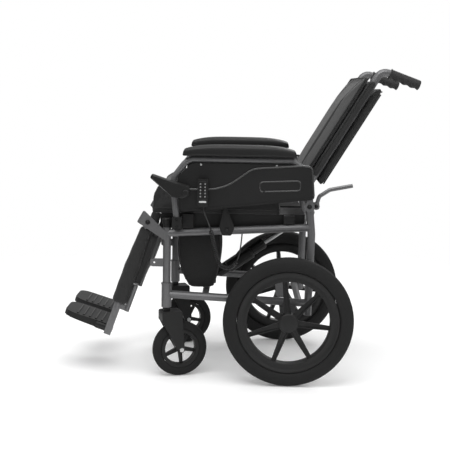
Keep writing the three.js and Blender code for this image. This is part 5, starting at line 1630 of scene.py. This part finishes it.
@dataclass
class ControlTrim:
    """What is set into the controls: the handset's light bar and key frame, and the pod's knob skirt."""

    middle: float = -270.5
    light_half: float = 11.0
    light_z: float = 572.0
    keys_half: float = 14.2
    keys_from: float = 580.0
    keys_to: float = 634.0
    # (radius, outward) of the skirt, and its place
    skirt: tuple = ((9.5, -1.0), (9.0, 0.6), (7.6, 1.6), (8.2, 2.6), (7.4, 3.6), (0.0, 3.8))
    skirt_at: Pair = (-322.5, 600)
    skirt_sunk: float = 6.5

    def build(self) -> None:
        """Adds the three on the outer faces of the handset and the pod."""
        face, pod = (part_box(node)[1].x / MM for node in ("handset", "control_pod"))

        def light(a: float, b: float, c: float) -> Vector:
            """Domes the window a little towards its ends."""
            return chair(face + 0.15 + 0.55 * a * (1 - 0.4 * b ** 6), self.middle + b * self.light_half,
                         self.light_z + c * 2.6)

        dress(pillow("handset_light_window", (4, 10, 4), light), FROST, "arm_left")
        corners = [chair(face, self.middle + y * self.keys_half, z) for y, z in (
            (-1, self.keys_from), (1, self.keys_from), (1, self.keys_to), (-1, self.keys_to))]
        edging("handset_key_bezel", 0.8, [rounded_loop(corners, 5 * MM)], ABS, "arm_left", 6)
        knob = turned("pod_knob_skirt", self.skirt, chair(pod - self.skirt_sunk, *self.skirt_at), 28)
        dress(knob, GRIP, "arm_left")


@dataclass
class Stage:
    """The pale studio: floor, soft lights and the camera where the photograph was taken from."""

    camera_at: Triple = (3.2244, -0.1553, 0.9098)
    pitch: float = 0.1378
    yaw: float = -0.0156
    roll: float = 0.0181
    focal_px: float = 971.08
    floor_half: float = 9.0
    floor_fade: Pair = (0.7, 2.4)
    floor_lift: float = 0.08
    sky: Pair = (0.36, 0.95)
    aim: Triple = (0.0, 0.0, 0.45)
    # Name, place, width and power of each soft light
    lamps: tuple = (
        ("key_light", (1.1, -0.5, 3.4), 2.8, 66), ("fill_light", (2.6, 2.2, 2.0), 2.4, 20),
        ("rim_light", (-2.6, 1.2, 2.4), 1.6, 30),
    )

    def camera(self) -> None:
        """Sets the camera by its place, its pitch, yaw and roll in radians, and its focal length."""
        level = math.cos(self.pitch)
        ahead = Vector((-level * math.cos(self.yaw), level * math.sin(self.yaw), -math.sin(self.pitch)))
        right = ahead.cross(Vector((0, 0, 1))).normalized()
        roll = Matrix.Rotation(-self.roll, 3, ahead)
        camera = placed("photo_camera", configured(bpy.data.cameras.new("photo_camera"), sensor_width=SENSOR_MM,
                                                   lens=self.focal_px * SENSOR_MM / PHOTO_PIXELS))
        facing = Matrix((roll @ right, roll @ right.cross(ahead), -ahead)).transposed().to_4x4()
        camera.matrix_world = Matrix.Translation(Vector(self.camera_at) + Vector((0, AXLE.y, 0))) @ facing
        bpy.context.scene.camera = camera

    def build(self) -> None:
        """Makes the floor, the world and the lamps."""
        bpy.context.scene.view_settings.view_transform = "Standard"
        far = self.floor_half
        corners = [(-far, -far, 0), (far, -far, 0), (far, far, 0), (-far, far, 0)]
        floor = mesh_piece("studio_floor", corners, [(0, 1, 2, 3)], False)
        floor.data.materials.append(self.paper())
        self.world()
        for name, place, size, watts in self.lamps:
            lamp = placed(name, configured(bpy.data.lights.new(name, "AREA"), size=size, energy=watts))
            lamp.location = place
            lamp.rotation_euler = (Vector(self.aim) - Vector(place)).to_track_quat("-Z", "Y").to_euler()

    def world(self) -> None:
        """Lights the chair from a pale sky and shows a white one to the camera."""
        world = bpy.data.worlds.new("studio_world")
        bpy.context.scene.world = world
        world.use_nodes = True
        tree = world.node_tree
        tree.nodes.clear()
        rays = add_node(tree, "ShaderNodeLightPath")
        sky = add_node(tree, "ShaderNodeTexCoord").outputs["Generated"]
        ray = add_node(tree, "ShaderNodeSeparateXYZ", {0: sky})
        glow = ranged(tree, ray.outputs["Z"], (0.0, 1.0), self.sky)
        soft = add_node(tree, "ShaderNodeBackground", {"Color": linear("F6F6F6"), "Strength": glow})
        white = add_node(tree, "ShaderNodeBackground", {"Color": linear("FFFFFF"), "Strength": 1.0})
        seen = add_node(tree, "ShaderNodeMixShader", {
            0: rays.outputs["Is Camera Ray"], 1: soft.outputs[0], 2: white.outputs[0],
        })
        add_node(tree, "ShaderNodeOutputWorld", {"Surface": seen.outputs[0]})

    def paper(self) -> bpy.types.Material:
        """Makes the floor's white paper, which keeps the soft shadow and fades into the white backdrop."""
        material = bpy.data.materials.new("paper_floor")
        material.use_nodes = True
        tree = material.node_tree
        shader = tree.nodes["Principled BSDF"]
        rays = add_node(tree, "ShaderNodeLightPath")
        lift = add_node(tree, "ShaderNodeMath", {0: rays.outputs["Is Camera Ray"], 1: self.floor_lift},
                        operation="MULTIPLY")
        for name, value in (("Base Color", linear("FDFDFD")), ("Roughness", 0.95), ("Specular IOR Level", 0.1),
                            ("Emission Color", linear("FFFFFF"))):
            shader.inputs[name].default_value = value
        tree.links.new(lift.outputs[0], shader.inputs["Emission Strength"])
        place = add_node(tree, "ShaderNodeTexCoord").outputs["Object"]
        far = add_node(tree, "ShaderNodeVectorMath", {0: place}, operation="LENGTH").outputs["Value"]
        fade = ranged(tree, far, self.floor_fade, (0.0, 1.0), interpolation_type="SMOOTHSTEP")
        clear = add_node(tree, "ShaderNodeBsdfTransparent")
        seen = add_node(tree, "ShaderNodeMixShader", {0: fade, 1: shader.outputs[0], 2: clear.outputs[0]})
        tree.links.new(seen.outputs[0], tree.nodes["Material Output"].inputs["Surface"])
        return material


def main() -> None:
    """Builds the scene in order: camera and lead first, then every sub-assembly."""
    logging.basicConfig(level=logging.INFO, format="%(name)s: %(message)s")
    stage = Stage()
    stage.camera()
    HandsetLead().build()
    stage.build()
    KeptNodes(frame["record"]).build()
    for side in Side:
        Tyre(f"rear_tyre_{side}", f"wheel_{side}", 45.0, 160.0, 72).build()
        Tyre(f"caster_tyre_{side}", f"caster_{side}", 30.0, 62.0, 40, groove=0.8).build()
        for sort in (RearWheel, PushGrip, Leg, ArmPad, PanelBeads, TreadLines):
            sort(side).build()
    for sort in (SeatCushion, Backrest, BatteryBag, Fasteners, ControlTrim):
        sort().build()


if __name__ == "__main__":
    main()
